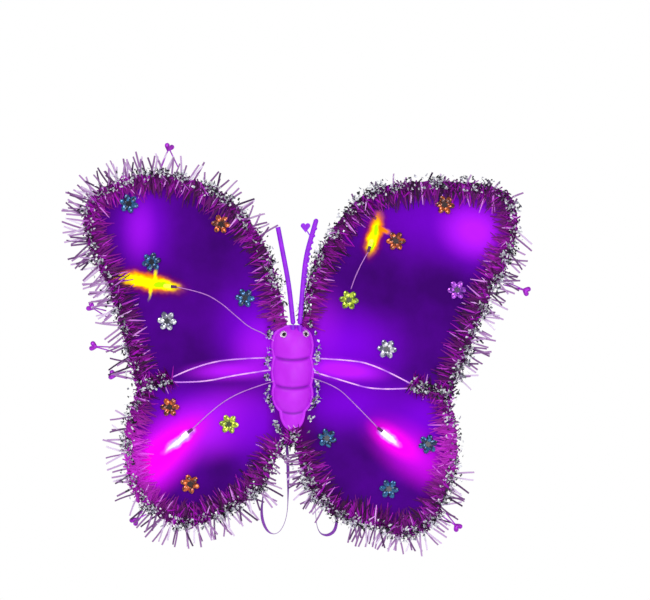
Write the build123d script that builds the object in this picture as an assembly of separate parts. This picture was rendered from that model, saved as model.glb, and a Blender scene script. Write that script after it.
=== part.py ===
from build123d import *
import os
from math import asin, cos, hypot, pi, radians, sin, sqrt, tan

os.makedirs("parts", exist_ok=True)

# Fairy wings, upright as worn. Millimetres. +X is to the right of the decorated face,
# -Y is forwards out of that face, +Z is up. A "depth" is a distance forwards from the
# rear face of the battery case, and (x, z) points are drawn on the decorated face.

# Overall sizes
wing_span = 497.0
wing_height = 404.0
drawn_span = 497.0
drawn_height = 404.0

# Wing construction
wire_diameter = 2.4
fabric_thickness = 0.8
fabric_margin = 2.0
flex_beyond_body = 4.0
flex_slack = 0.2
cloth_flex_gap = 0.4
flap_forwards = 60.0
flap_backwards = 15.0
trim_inward = 17.0
trim_outward = 20.0
trim_thickness = 2.0
notch_trim_width = 16.0

# Batteries and case
battery_diameter = 10.5
battery_length = 44.5
battery_nub_diameter = 3.8
battery_nub_length = 1.0
battery_gap = 1.0
bay_clearance = 0.4
wall = 1.6
case_corner = 4.0
room_below_bay = 9.0
room_above_bay = 33.1
contact_thickness = 0.4
spring_length = 4.6
spring_wire = 0.6
spring_diameter = 6.4
spring_turns = 3

# Moulded body
body_half_width = 23.0
drawn_half_width = 23.0
drawn_flex_x = 27.0
body_rise = 12.0
shell_wall = 1.6

# Screws
screw_diameter = 2.6
screw_head_diameter = 5.0
screw_head_height = 1.8
screw_post_diameter = 6.4
screw_hole_slack = 0.2
screw_seat = 3.0
screw_bite = 4.5
recess_depth = 0.7
top_screw_drop = 11.5
bottom_screw_rise = 4.4
door_screw_above_bay = 11.1
door_screw_slack = 0.6

# Antennae
antenna_diameter = 5.6
antenna_root_bottom = 44.0
antenna_pivot_height = 60.8
antenna_gap = 0.4
antenna_standoff = 1.0

# Lamps, leads, gems and eyes
lead_diameter = 1.2
lead_slack = 1.2
lead_hole_slack = 0.6
led_diameter = 5.0
led_length = 8.6
led_flange_diameter = 5.8
led_flange_thickness = 1.0
sleeve_diameter = 3.4
sleeve_length = 7.0
gem_radius = 11.5
gem_thickness = 3.2
gem_clearance = 1.0
eye_diameter = 8.0
eye_back_thickness = 1.0
eye_height = 3.0
eye_wall = 0.5
eye_cap_thickness = 0.8
eye_tilt = 18.0
eye_standoff = 0.3
pupil_diameter = 4.4
pupil_thickness = 0.5
pupil_offset = 1.1
pupil_play = 0.15
heart_size = 9.0
antenna_heart_size = 10.5
antenna_heart_thickness = 3.0
strand_width = 1.4
foil_thickness = 0.8

# Arm loops
loop_diameter = 2.8
loop_hole = 3.6
knot_diameter = 5.0
knot_length = 4.8
loop_depth = 7.0
loop_end_inset = 0.5
loop_top_drop = 6.5
loop_bottom_x = 8.0

# Sizes that follow from these
case_width = 2 * battery_diameter + battery_gap + 2 * bay_clearance + 2 * wall
case_depth = wall + bay_clearance + battery_diameter + bay_clearance + wall
wire_depth = case_depth + wire_diameter / 2
fabric_back = case_depth + wire_diameter
fabric_front = fabric_back + fabric_thickness
body_round = (body_half_width**2 + body_rise**2) / (2 * body_rise)
body_axis_drop = body_round - body_rise
body_axis_depth = fabric_front - body_axis_drop
body_share = body_half_width / drawn_half_width
flex_x = body_half_width + flex_beyond_body
bay_length = 2 * contact_thickness + spring_length + battery_length
case_height = room_below_bay + bay_length + room_above_bay
half_width = case_width / 2
half_height = case_height / 2
inner = half_width - wall
bay_bottom = room_below_bay - half_height
bay_top = bay_bottom + bay_length
battery_depth = wall + bay_clearance + battery_diameter / 2
battery_x = (battery_diameter + battery_gap) / 2
case_screw_heights = (half_height - top_screw_drop, bottom_screw_rise - half_height)
door_screw_height = bay_top + door_screw_above_bay
loop_top_height = half_height - loop_top_drop
antenna_depth = fabric_front + antenna_diameter / 2 + antenna_standoff
board_back = fabric_front + lead_diameter
screw_hole = screw_diameter + screw_hole_slack
screw_head_hole = screw_head_diameter + 0.4
lead_hole = lead_diameter + lead_hole_slack

# The wings bend about the front face of the fabric. What lies behind it closes up as a wing goes
# back, and what lies in front closes up as it comes forwards, so each layer is parted to suit.
wire_flex_gap = flex_slack + (wire_diameter + fabric_thickness) * tan(radians(flap_backwards / 2))
lead_flex_gap = flex_slack + lead_diameter * tan(radians(flap_forwards / 2))
trim_flex_gap = flex_slack + trim_thickness * tan(radians(flap_forwards / 2))

# Outer edge of each wing, from the top of the body round to the tail.
left_upper_edge = [
    (-5, 40), (-17, 104), (-38, 163), (-82, 213), (-152, 234), (-208, 222), (-241, 196),
    (-235, 150), (-208, 96), (-188, 30), (-178, -14),
]
left_lower_edge = [
    (-178, -20), (-193, -60), (-189, -122), (-170, -152), (-122, -178), (-76, -157),
    (-32, -128), (-22, -96), (-5, -76), (-6, -38),
]
right_upper_edge = [
    (7, 40), (15, 104), (42, 160), (82, 212), (140, 222), (226, 220), (258, 200),
    (256, 150), (224, 90), (206, 40), (181, -25),
]
right_lower_edge = [
    (181, -32), (187, -60), (188, -108), (174, -140), (160, -176), (124, -187), (98, -170),
    (50, -166), (18, -128), (8, -94), (4, -76), (6, -38),
]
# The two wires that bow apart between the upper and lower wing, from the notch inwards.
left_upper_vein = [(-139, -3), (-104, 14), (-50, 20), (-9, 20)]
left_lower_vein = [(-9, 8), (-62, 1), (-105, -9), (-139, -8)]
right_upper_vein = [(136, -10), (96, 12), (60, 18), (9, 20)]
right_lower_vein = [(9, 8), (60, -7), (96, -18), (136, -15)]

left_gems = {
    "blue": [(-188, 197), (-162, 130), (-54.6, 88.6)],
    "amber": [(-82.2, 173.6), (-140.9, -36.8), (-117.9, -125.4)],
    "green": [(-73, -56.4)],
    "clear": [(-144.3, 62.1)],
}
right_gems = {
    "blue": [(39.7, -72.5), (155.8, -79.4), (111, -131)],
    "amber": [(175.4, 195.5), (119, 154)],
    "green": [(65, 86.3)],
    "clear": [(108.7, 29.9)],
    "violet": [(189.2, 97.8)],
}

# Lamps: the end of the lead, then the way the lamp points.
left_lamps = [((-133, 101.2), (-1, 0.1)), ((-115, -62), (-0.78, -0.62))]
right_lamps = [((87, 141.5), (0.3, 0.95)), ((98, -60.5), (0.78, -0.62))]
left_upper_lead = [(-133, 101.2), (-104, 95.5), (-83.4, 84), (-66.1, 69), (-48.9, 54), (-30, 47), (-4, 26)]
left_lower_lead = [(-115, -62), (-94.9, -42.6), (-71.9, -25.3), (-41, -12.6), (-5, -2)]
right_lower_lead = [(98, -60.5), (74.2, -35.6), (45.4, -8), (5, 1)]
# The right upper lead goes through the fabric just above the green gem and on behind it.
right_upper_lead = [(87, 141.5), (74.2, 120.8)]
right_back_lead = [(52, 70), (34, 41), (4, 27.5)]
eyelet_aside = 2.5
eyelet_above_gem = 1.8

left_hearts = [(-142, 261), (-231, 78), (-228, 33), (-206, 0), (-181, -167)]
left_heart_roots = [(-138, 240), (-213, 66), (-203, 26), (-190, -4), (-172, -158)]
right_hearts = [(268, 97), (189, -174)]
right_heart_roots = [(246, 100), (176, -160)]

left_antenna_points = [(0.6, antenna_pivot_height), (-4, 104), (-16.7, 170)]
right_antenna_points = [(8.6, antenna_pivot_height), (12, 104), (15.5, 137), (27, 177)]
heart_stem = [(21.5, 158), (16.5, 166)]
antenna_heart_place = (15.0, 169.5)

# Arm loops, (x, depth, z), from the side of the case down and back up to its bottom wall.
left_loop_route = [
    (-27, 7, 39.5), (-36, 6, 20), (-39, 5, -18), (-37, 5, -62), (-33, 5, -106), (-33.5, 5, -136),
    (-37, 5, -163), (-29, 5, -183), (-16, 5, -184.5), (-6, 5, -165), (-5, 5, -128), (-5.6, 6, -95),
    (-8, 7, -64),
]
right_loop_route = [
    (27, 7, 39.5), (37, 6, 20), (45, 5, -16), (49, 5, -58), (50, 5, -100), (50.4, 5, -146),
    (51.5, 5, -178), (40, 5, -187), (28, 5, -181), (26, 5, -150), (22, 5, -118), (14, 6, -88), (8, 7, -64),
]


def place(point):
    """Move a drawn (x, z) point to suit the wing's size; the middle keeps to the body's width."""
    x, z = point
    reach = (wing_span / 2 - flex_x) / (drawn_span / 2 - drawn_flex_x)
    beyond = max(abs(x) - drawn_flex_x, 0)
    inside = min(abs(x), drawn_flex_x) * flex_x / drawn_flex_x
    side = -1 if x < 0 else 1
    rise = wing_height / drawn_height
    height = z if abs(z) < case_height / 2 and abs(x) < drawn_flex_x else z * rise
    return (side * (inside + beyond * reach), height)


def placed(points):
    return [place(point) for point in points]


def corner_radii(points, share=0.45):
    """The largest arc that two neighbouring runs leave room for, at each corner."""
    radii = []
    for before, corner, after in zip(points, points[1:], points[2:]):
        arriving = Vector(*corner) - Vector(*before)
        leaving = Vector(*after) - Vector(*corner)
        turn = radians(arriving.get_angle(leaving))
        shorter = min(arriving.length, leaving.length)
        radii.append(share * shorter / tan(turn / 2))
    return radii


def rounded(points):
    return FilletPolyline(*points, radius=corner_radii(points))


def on_face(shape, depth):
    """Stand a flat (x, z) drawing up at a depth."""
    return Plane.XZ.offset(depth) * shape


def slab(face, depth, thickness):
    return extrude(on_face(face, depth), amount=thickness)


def peg(x, z, back, front, diameter):
    """A round peg or hole that runs forwards from one depth to another."""
    return slab(Pos(x, z) * Circle(diameter / 2), back, front - back)


def block(x0, x1, back, front, z0, z1):
    """A box between two x, two depths and two heights."""
    return slab(Pos((x0 + x1) / 2, (z0 + z1) / 2) * Rectangle(x1 - x0, z1 - z0), back, front - back)


def tube(path, diameter):
    start = Plane(origin=path @ 0, z_dir=path % 0)
    return sweep(start * Circle(diameter / 2), path=path)


def bent_wire(points, diameter, depth):
    return tube(on_face(rounded(points), depth), diameter)


def span(x0, x1):
    """Everything between two x positions."""
    return Pos((x0 + x1) / 2, -case_depth, 0) * Box(x1 - x0, wing_span, 2 * wing_height)


def wing_face(upper_edge, lower_edge):
    """The wing's flat outline, closed down the middle of the body."""
    top = placed(upper_edge)
    bottom = placed(lower_edge)
    upper = make_face(rounded(top) + Polyline(top[-1], (0, top[-1][1]), (0, top[0][1]), top[0]))
    middle = [(0, bottom[-1][1]), (0, bottom[0][1])]
    lower = make_face(rounded(bottom) + Polyline(bottom[-1], *middle, bottom[0]))
    join = make_face(Polyline(top[-1], bottom[0], (0, bottom[0][1]), (0, top[-1][1]), top[-1]))
    return upper + lower + join


def flower(radius):
    petal = 0.38 * radius
    petals = [Rot(0, 0, 60 * turn + 30) * Pos(radius - petal, 0) * Circle(petal) for turn in range(6)]
    return Circle(radius / 2) + petals


def gem(x, z):
    body_height = 0.6 * gem_thickness
    body = slab(Pos(x, z) * flower(gem_radius), fabric_front, body_height)
    crown = Pos(x, z) * flower(0.8 * gem_radius)
    return body + slab(crown, fabric_front + body_height, gem_thickness - body_height)


def heart_plate(x, z, size, depth, thickness):
    lobe = Circle(size * 0.28)
    lobes = Pos(-size * 0.25, size * 0.2) * lobe + Pos(size * 0.25, size * 0.2) * lobe
    point = make_face(Polyline((-size * 0.5, size * 0.08), (0, -size * 0.55), (size * 0.5, size * 0.08),
                               (0, size * 0.3), (-size * 0.5, size * 0.08)))
    return slab(Pos(x, z) * (lobes + point), depth, thickness)


def body_radius(half_width):
    """Distance from the body's turning axis to its skin, for a half width on the fabric."""
    return sqrt(half_width**2 + body_axis_drop**2)


def body_profile(grow):
    """Half of the segmented body's turned profile, from the tail to the top of the head."""
    half_widths = [
        (-62.7, 0.3), (-52, 11.4), (-41.4, 13.4), (-25, 22.2), (-11.5, 20.6), (4.6, 23), (20.7, 20.6),
        (33, 22.8), (43, 21.4), (51, 16.6), (56, 0.3),
    ]
    skin = [(body_radius(width * body_share) + grow, height) for height, width in half_widths]
    skin[0] = (skin[0][0], skin[0][1] - grow)
    skin[-1] = (skin[-1][0], skin[-1][1] + grow)
    arcs = [ThreePointArc(*skin[start:start + 3]) for start in range(0, len(skin) - 1, 2)]
    closing = Polyline(skin[-1], (0, skin[-1][1]), (0, skin[0][1]), skin[0])
    return make_face(Curve() + arcs + closing)


def room_in_front():
    """All the space in front of the fabric around the body."""
    reach = case_height
    return block(-reach, reach, fabric_front, fabric_front + reach, -reach, reach)


def body_round_solid(grow):
    """The whole turned body, grown or shrunk, kept only in front of the fabric."""
    turned = revolve(Plane.XZ * body_profile(grow), axis=Axis.Z)
    turned = Pos(0, -body_axis_depth, 0) * turned
    return turned & room_in_front()


def eye_frame(x, z, half_width):
    """A plane on the skin of the head, facing outwards and a little up."""
    reach = body_radius(half_width)
    swing = asin(x / reach)
    tilt = radians(eye_tilt)
    outwards = (sin(swing) * cos(tilt), -cos(swing) * cos(tilt), sin(tilt))
    skin = Vector(x, -(body_axis_depth + reach * cos(swing)), z)
    return Plane(origin=skin, z_dir=outwards)


def write(name, shape):
    shape.label = name
    export_step(shape, "parts/" + name + ".step")


def write_group(name, shapes):
    write(name, Compound(children=list(shapes)))


# ---- wire frames ----
def frame_loops(upper_edge, upper_vein, lower_vein, lower_edge):
    """The upper and the lower wire of one side."""
    upper = bent_wire(placed(upper_edge + upper_vein), wire_diameter, wire_depth)
    lower = bent_wire(placed(lower_vein + lower_edge), wire_diameter, wire_depth)
    return upper, lower


def outboard(shape, side, gap):
    edge = flex_x + gap
    if side < 0:
        return shape & span(-wing_span, -edge)
    return shape & span(edge, wing_span)


def inboard(shape, gap):
    edge = flex_x - gap
    return shape & span(-edge, edge)


left_loops = frame_loops(left_upper_edge, left_upper_vein, left_lower_vein, left_lower_edge)
right_loops = frame_loops(right_upper_edge, right_upper_vein, right_lower_vein, right_lower_edge)
write("left_upper_frame", outboard(left_loops[0], -1, wire_flex_gap))
write("left_lower_frame", outboard(left_loops[1], -1, wire_flex_gap))
write("right_upper_frame", outboard(right_loops[0], 1, wire_flex_gap))
write("right_lower_frame", outboard(right_loops[1], 1, wire_flex_gap))
wire_stubs = []
for loop in left_loops + right_loops:
    wire_stubs += inboard(loop, wire_flex_gap).solids()
write_group("centre_frame_wires", wire_stubs)

# ---- fabric ----
left_face = wing_face(left_upper_edge, left_lower_edge)
right_face = wing_face(right_upper_edge, right_lower_edge)
wing_shape = left_face + right_face
fabric = slab(offset(wing_shape, amount=fabric_margin), fabric_back, fabric_thickness)
switch_depth = 5.6
switch_floor = 2.6
switch_height = 12.6
switch_low = half_height - 24.5
switch_outer = inner
switch_inner = switch_outer - switch_depth
switch_wire_x = switch_inner + switch_floor
switch_wire_places = [(switch_wire_x, switch_low + 1.4), (switch_wire_x, switch_low + 3.8)]
contact_wire_height = bay_top + 5.0
contact_wire_places = [(-battery_x, contact_wire_height), (battery_x, contact_wire_height)]
supply_places = switch_wire_places + contact_wire_places
back_end = place(right_back_lead[-1])
green_gem = place(right_gems["green"][0])
eyelet = (green_gem[0] + eyelet_aside, green_gem[1] + gem_radius + eyelet_above_gem)


def fabric_hole(point, diameter):
    return peg(*point, 0, fabric_front + 1, diameter)


centre_cloth = inboard(fabric, cloth_flex_gap)
for height in case_screw_heights:
    centre_cloth -= fabric_hole((0, height), screw_diameter + lead_hole_slack)
for point in supply_places + [back_end]:
    centre_cloth -= fabric_hole(point, lead_hole)
write("centre_fabric", centre_cloth)
write("left_fabric", outboard(fabric, -1, cloth_flex_gap))
write("right_fabric", outboard(fabric, 1, cloth_flex_gap) - fabric_hole(eyelet, lead_hole))


# ---- lamp leads ----
def front_lead(points):
    return bent_wire(points, lead_diameter, fabric_front + lead_diameter / 2)


def lead_track(points):
    """The flat strip of fabric that a lead needs to itself."""
    return trace(rounded(points), lead_diameter + lead_slack)


def solder_pin(point, front):
    """A lead's end where it turns and goes forwards through the fabric."""
    return peg(*point, fabric_back - lead_diameter - pin_margin, front, lead_diameter + 2 * pin_margin)


pin_margin = 0.15
left_lead_routes = [placed(left_upper_lead), placed(left_lower_lead)]
right_top_route = placed(right_upper_lead) + [eyelet]
right_low_route = placed(right_lower_lead)
back_lead = bent_wire([eyelet] + placed(right_back_lead), lead_diameter, fabric_back - lead_diameter / 2)
back_lead += solder_pin(eyelet, fabric_front + lead_diameter + pin_margin)
back_lead += solder_pin(back_end, board_back)
left_lead_tubes = [front_lead(route) for route in left_lead_routes]
right_top_lead = front_lead(right_top_route) + outboard(back_lead, 1, lead_flex_gap)
right_low_lead = front_lead(right_low_route)
write_group("left_leads", [outboard(lead, -1, lead_flex_gap) for lead in left_lead_tubes])
write_group("right_leads", [right_top_lead, outboard(right_low_lead, 1, lead_flex_gap)])
lead_stubs = [inboard(lead, lead_flex_gap) for lead in left_lead_tubes + [right_low_lead, back_lead]]
write_group("centre_leads", lead_stubs)
front_routes = left_lead_routes + [right_low_route, right_top_route]


# ---- lamps ----
def lamp_axis(start, heading):
    """A plane at the end of the lead that looks the way the lamp points."""
    x, z = place(start)
    length = hypot(*heading)
    ahead = (heading[0] / length, 0, heading[1] / length)
    return Plane(origin=(x, -(fabric_front + led_flange_diameter / 2), z), z_dir=ahead)


def lamp_sleeve(start, heading):
    """Heat-shrink over the soldered legs; its tail grips the lead."""
    sleeve = Cylinder(sleeve_diameter / 2, sleeve_length)
    return lamp_axis(start, heading) * Pos(0, 0, sleeve_length / 2) * sleeve


def lamp(start, heading):
    bulb_radius = led_diameter / 2
    flange_middle = sleeve_length + led_flange_thickness / 2
    flange = Pos(0, 0, flange_middle) * Cylinder(led_flange_diameter / 2, led_flange_thickness)
    barrel_start = sleeve_length + led_flange_thickness
    barrel_length = led_length - led_flange_thickness - bulb_radius
    barrel = Pos(0, 0, barrel_start + barrel_length / 2) * Cylinder(bulb_radius, barrel_length)
    dome = Pos(0, 0, barrel_start + barrel_length) * Sphere(bulb_radius)
    return lamp_axis(start, heading) * (flange + barrel + dome)


for side_name, lamps in (("left", left_lamps), ("right", right_lamps)):
    write_group(side_name + "_lamp_sleeves", [lamp_sleeve(*place_and_way) for place_and_way in lamps])
    for row, place_and_way in zip(("upper", "lower"), lamps):
        write(side_name + "_" + row + "_led", lamp(*place_and_way))

# ---- gems ----
gem_room = []
for side_name, gems in (("left", left_gems), ("right", right_gems)):
    for colour, places in gems.items():
        write_group(side_name + "_" + colour + "_gems", [gem(*place(point)) for point in places])
        gem_room += [place(point) for point in places]


# ---- where the eyes sit on the head ----
eye_places = {"left": (-9.8, 46.6), "right": (15.1, 47.4)}
eye_half_width = 20.4
eye_frames = {side: eye_frame(x, z, eye_half_width * body_share) for side, (x, z) in eye_places.items()}


# ---- tinsel trim ----
def notch_strip(edge, vein):
    """Tinsel that runs inwards from the notch along the upper vein wire."""
    path = rounded(placed(edge[-1:] + vein[:2]))
    return trace(path, notch_trim_width)


band = offset(wing_shape, amount=trim_outward) - offset(wing_shape, amount=-trim_inward)
band += notch_strip(left_upper_edge, left_upper_vein)
band += notch_strip(right_upper_edge, right_upper_vein)
antenna_corridor = make_face(Polyline((-6, 50), (-25, 190), (36, 190), (16, 50), (-6, 50)))
band -= antenna_corridor
for x, z in gem_room:
    band -= Pos(x, z) * Circle(gem_radius + gem_clearance)
for route in front_routes:
    band -= lead_track(route)
trim = slab(band, fabric_front, trim_thickness)
write("left_trim", outboard(trim, -1, trim_flex_gap))
write("right_trim", outboard(trim, 1, trim_flex_gap))
trim_clearance = 0.6
eye_boss_diameter = eye_diameter + 1.0
eye_boss_depth = 4.0
centre_trim = inboard(trim, trim_flex_gap) - body_round_solid(trim_clearance)
for frame in eye_frames.values():
    centre_trim -= frame * Cylinder(eye_boss_diameter / 2 + 1.0, 14)
write("centre_trim", centre_trim)


# ---- foil hearts on their strands ----
def strand_heart(tip, root):
    tip = place(tip)
    root = place(root)
    depth = fabric_front + trim_thickness
    return heart_plate(*tip, heart_size, depth, foil_thickness) + foil_strand(tip, root, depth)


def foil_strand(tip, root, depth):
    return slab(trace(Line(tip, root), strand_width), depth, foil_thickness)


left_heart_strands = zip(left_hearts, left_heart_roots)
right_heart_strands = zip(right_hearts, right_heart_roots)
write_group("left_hearts", [strand_heart(tip, root) for tip, root in left_heart_strands])
write_group("right_hearts", [strand_heart(tip, root) for tip, root in right_heart_strands])

# ---- rear case ----
door_bottom = bay_bottom
door_top = door_screw_height + 5.0
door_half_width = inner - 0.6
door_clearance = 0.3
switch_back = 3.5
switch_front = 10.5
switch_high = switch_low + switch_height
slider_clearance = 0.25
slider_centre = switch_low + 4.7
slider_depth = (switch_back + switch_front) / 2
slider_travel = 3.0
lever_half = 1.5
slot_half = lever_half + 0.4
tag_half_width = 1.0
case_floor = case_depth - wall


def case_rooms():
    """The three rooms in the case: batteries, switch and loop knots above, lower knots below."""
    batteries = block(-inner, inner, wall, case_floor, bay_bottom - wall + 0.2, bay_top)
    above = block(-inner, inner, wall, case_floor, bay_top + wall, half_height - wall)
    below = block(-inner, inner, wall, case_floor, wall - half_height, bay_bottom - wall)
    return batteries + above + below


def case_holes():
    """What goes through the case's walls: the loops, the switch lever and the wires."""
    holes = block(half_width - wall - 0.5, half_width + 1, slider_depth - slot_half, slider_depth + slot_half,
                  slider_centre - slot_half, slider_centre + slider_travel + slot_half)
    loop_way = Cylinder(loop_hole / 2, 6)
    for side in (-1, 1):
        holes += Pos(side * half_width, -loop_depth, loop_top_height) * Rot(0, 90, 0) * loop_way
        holes += Pos(side * loop_bottom_x, -loop_depth, -half_height) * loop_way
    for x, z in supply_places:
        holes += peg(x, z, case_floor - 1, case_depth + 1, lead_hole)
    slit_half = tag_half_width + 0.3
    for x, z in contact_wire_places:
        holes += block(x - slit_half, x + slit_half, battery_depth - 0.5, battery_depth + 0.5,
                       bay_top - 1, bay_top + wall + 1)
    return holes


def rear_case():
    case = block(-half_width, half_width, 0, case_depth, -half_height, half_height)
    case = fillet(case.edges().filter_by(Axis.Y), case_corner)
    case -= case_rooms()
    case -= block(-door_half_width - door_clearance, door_half_width + door_clearance, -1, wall,
                  door_bottom - door_clearance, door_top + door_clearance)
    for height in case_screw_heights:
        case += peg(0, height, 0, case_floor, screw_post_diameter)
        case -= peg(0, height, -1, case_floor - screw_seat, screw_head_hole)
        case -= peg(0, height, -1, case_depth + 1, screw_hole)
    case += peg(0, door_screw_height, wall + door_clearance, case_floor, screw_post_diameter)
    case -= peg(0, door_screw_height, 0, case_floor - 1.0, screw_diameter + 2 * door_screw_slack)
    return case - case_holes()


write("rear_case", rear_case())


# ---- battery door and its screw ----
screw_sink = 0.9
door_screw_reach = 8.0
tongue_half_width = 2.0
tongue_drop = 1.1
tongue_thickness = 0.9
grip_half_width = 5.0
grip_pitch = 2.4
grip_height = 1.0
grip_below_top = 12.0


def battery_door():
    """A flush cover whose tongue reaches under the case's rear wall, between the two batteries."""
    door = block(-door_half_width, door_half_width, 0, wall, door_bottom, door_top)
    tongue = block(-tongue_half_width, tongue_half_width, wall, wall + tongue_thickness,
                   door_bottom - tongue_drop, door_bottom + tongue_drop)
    tongue -= block(-case_width, case_width, 0, wall + door_clearance, door_bottom - case_height, door_bottom)
    door += tongue
    for ridge in range(5):
        height = door_top - grip_below_top - grip_pitch * ridge
        door -= block(-grip_half_width, grip_half_width, -0.1, 0.4, height, height + grip_height)
    door -= peg(0, door_screw_height, -1, screw_sink, screw_head_hole)
    door -= peg(0, door_screw_height, -1, wall + 1, screw_diameter + 0.1)
    return door


def cross_recess(x, z, front):
    slots = Rectangle(screw_diameter, 0.6) + Rectangle(0.6, screw_diameter)
    return slab(Pos(x, z) * slots, front, recess_depth)


write("battery_door", battery_door())
door_screw = peg(0, door_screw_height, 0.05, screw_sink, screw_head_diameter)
door_screw += peg(0, door_screw_height, screw_sink, door_screw_reach, screw_diameter)
door_screw -= cross_recess(0, door_screw_height, 0.0)
write("door_screw", door_screw)

screw_head_front = case_floor - screw_seat
screw_head_back = screw_head_front - screw_head_height
case_screws = []
for height in case_screw_heights:
    screw = peg(0, height, screw_head_back, screw_head_front, screw_head_diameter)
    screw += peg(0, height, screw_head_front, fabric_front + screw_bite, screw_diameter)
    screw -= cross_recess(0, height, screw_head_back)
    case_screws.append(screw)
write_group("case_screws", case_screws)


# ---- batteries, springs and contacts ----
def battery(x, nub_up):
    bottom = bay_bottom + contact_thickness + (spring_length if nub_up else 0)
    top = bottom + battery_length
    can_bottom = bottom if nub_up else bottom + battery_nub_length
    can_top = top - battery_nub_length if nub_up else top
    can = fillet(Cylinder(battery_diameter / 2, can_top - can_bottom).edges(), 0.5)
    can = Pos(x, -battery_depth, (can_bottom + can_top) / 2) * can
    nub_height = can_top + battery_nub_length / 2 if nub_up else can_bottom - battery_nub_length / 2
    nub = Pos(x, -battery_depth, nub_height) * Cylinder(battery_nub_diameter / 2, battery_nub_length)
    return can + nub


def spring(x, bottom):
    turns_height = spring_length - spring_wire
    coil_radius = (spring_diameter - spring_wire) / 2
    path = Helix(pitch=turns_height / spring_turns, height=turns_height, radius=coil_radius)
    start = Plane(origin=path @ 0, z_dir=path % 0)
    coil = sweep(start * Circle(spring_wire / 2), path=path, is_frenet=True)
    return Pos(x, -battery_depth, bottom + spring_wire / 2) * coil


def contact_plate(x0, x1, height):
    half = battery_diameter / 2 - 1
    return block(x0, x1, battery_depth - half, battery_depth + half, height, height + contact_thickness)


write("battery_left", battery(-battery_x, True))
write("battery_right", battery(battery_x, False))
write_group("battery_springs", [
    spring(-battery_x, bay_bottom + contact_thickness),
    spring(battery_x, bay_top - contact_thickness - spring_length),
])
plate_half = battery_diameter / 2 - 1.2
bridge = contact_plate(-battery_x - plate_half, battery_x + plate_half, bay_bottom)
contacts = [bridge]
for x, height in contact_wire_places:
    plate = contact_plate(x - plate_half, x + plate_half, bay_top - contact_thickness)
    tag_half = contact_thickness / 2
    tag = block(x - tag_half_width, x + tag_half_width, battery_depth - tag_half, battery_depth + tag_half,
                bay_top - contact_thickness, height + 1)
    contacts.append(plate + tag)
write_group("battery_contacts", contacts)

# ---- circuit board, its chip and the supply wires ----
board_bottom = -5.0
board_top = case_screw_heights[0] - screw_post_diameter / 2 - 0.8
board_half_width = inner - 0.9
board_thickness = 1.2
board_front = board_back + board_thickness
board = block(-board_half_width, board_half_width, board_back, board_front, board_bottom, board_top)
board = fillet(board.edges().filter_by(Axis.Y), 1.5)
write("circuit_board", board)
chip_ball = 8.0
chip_rise = 1.6
chip_height = 8.0
chip = Pos(0, -(board_front + chip_rise - chip_ball), chip_height) * Sphere(chip_ball)
chip &= Pos(0, -board_front - chip_ball, chip_height) * Box(4 * chip_ball, 2 * chip_ball, 4 * chip_ball)
write("flasher_chip", chip)
tag_front = battery_depth + contact_thickness / 2
wires = [peg(x, z, switch_front, board_back, lead_diameter) for x, z in switch_wire_places]
wires += [peg(x, z, tag_front, board_back, lead_diameter) for x, z in contact_wire_places]
write_group("supply_wires", wires)

# ---- slide switch ----
housing = block(switch_inner, switch_outer, switch_back, switch_front, switch_low, switch_high)
switch_wall = 1.0
housing -= block(switch_inner + switch_floor, switch_outer + 1, switch_back + switch_wall,
                 switch_front - switch_wall, switch_low + switch_wall, switch_high - switch_wall)
write("switch_housing", housing)
foot_half = 3.2
foot = block(switch_inner + switch_floor + slider_clearance, switch_outer - slider_clearance,
             switch_back + switch_wall + slider_clearance, switch_front - switch_wall - slider_clearance,
             slider_centre - foot_half, slider_centre + foot_half)
lever_reach = 1.9
lever = block(switch_outer - 1, half_width + lever_reach, slider_depth - lever_half,
              slider_depth + lever_half, slider_centre - lever_half, slider_centre + lever_half)
for ridge in (-0.9, 0, 0.9):
    lever -= block(half_width + lever_reach - 0.4, half_width + 2, slider_depth - 2, slider_depth + 2,
                   slider_centre + ridge - 0.2, slider_centre + ridge + 0.2)
write("switch_slider", foot + lever)


# ---- front shell ----
antenna_x = {"left": left_antenna_points[0][0], "right": right_antenna_points[0][0]}
board_posts = [(-7.0, 14.0), (7.0, 14.0)]
board_post_diameter = 3.6


def front_shell():
    outer = body_round_solid(0)
    shell = outer - body_round_solid(-shell_wall)
    for height in case_screw_heights:
        shell += peg(0, height, fabric_front, fabric_front + case_height, screw_post_diameter) & outer
    for x, z in board_posts:
        post = peg(x, z, board_front, fabric_front + case_height, board_post_diameter)
        shell += post & outer
    for frame in eye_frames.values():
        boss = Cylinder(eye_boss_diameter / 2, eye_boss_depth)
        shell += frame * Pos(0, 0, eye_standoff - eye_boss_depth / 2) * boss
    for height in case_screw_heights:
        shell -= peg(0, height, 0, fabric_front + screw_bite + 0.5, screw_diameter)
    for x in antenna_x.values():
        hole_half = antenna_pivot_height - antenna_root_bottom
        shell -= Pos(x, -antenna_depth, antenna_pivot_height) * Cylinder(antenna_diameter / 2, 2 * hole_half)
    for route in front_routes:
        shell -= slab(lead_track(route), fabric_front, lead_diameter + lead_slack / 2)
    return shell & room_in_front()


write("front_shell", front_shell())


# ---- googly eyes ----
def eye_dome():
    """A clear cap over the loose pupil."""
    height = eye_height - eye_back_thickness
    cap = Cylinder(eye_diameter / 2, height)
    cap = fillet(cap.edges().sort_by(Axis.Z)[-1], 0.7 * height)
    room_height = height - eye_cap_thickness
    room = Pos(0, 0, -eye_cap_thickness / 2) * Cylinder(eye_diameter / 2 - eye_wall, room_height)
    return Pos(0, 0, eye_back_thickness + height / 2) * (cap - room)


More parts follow.
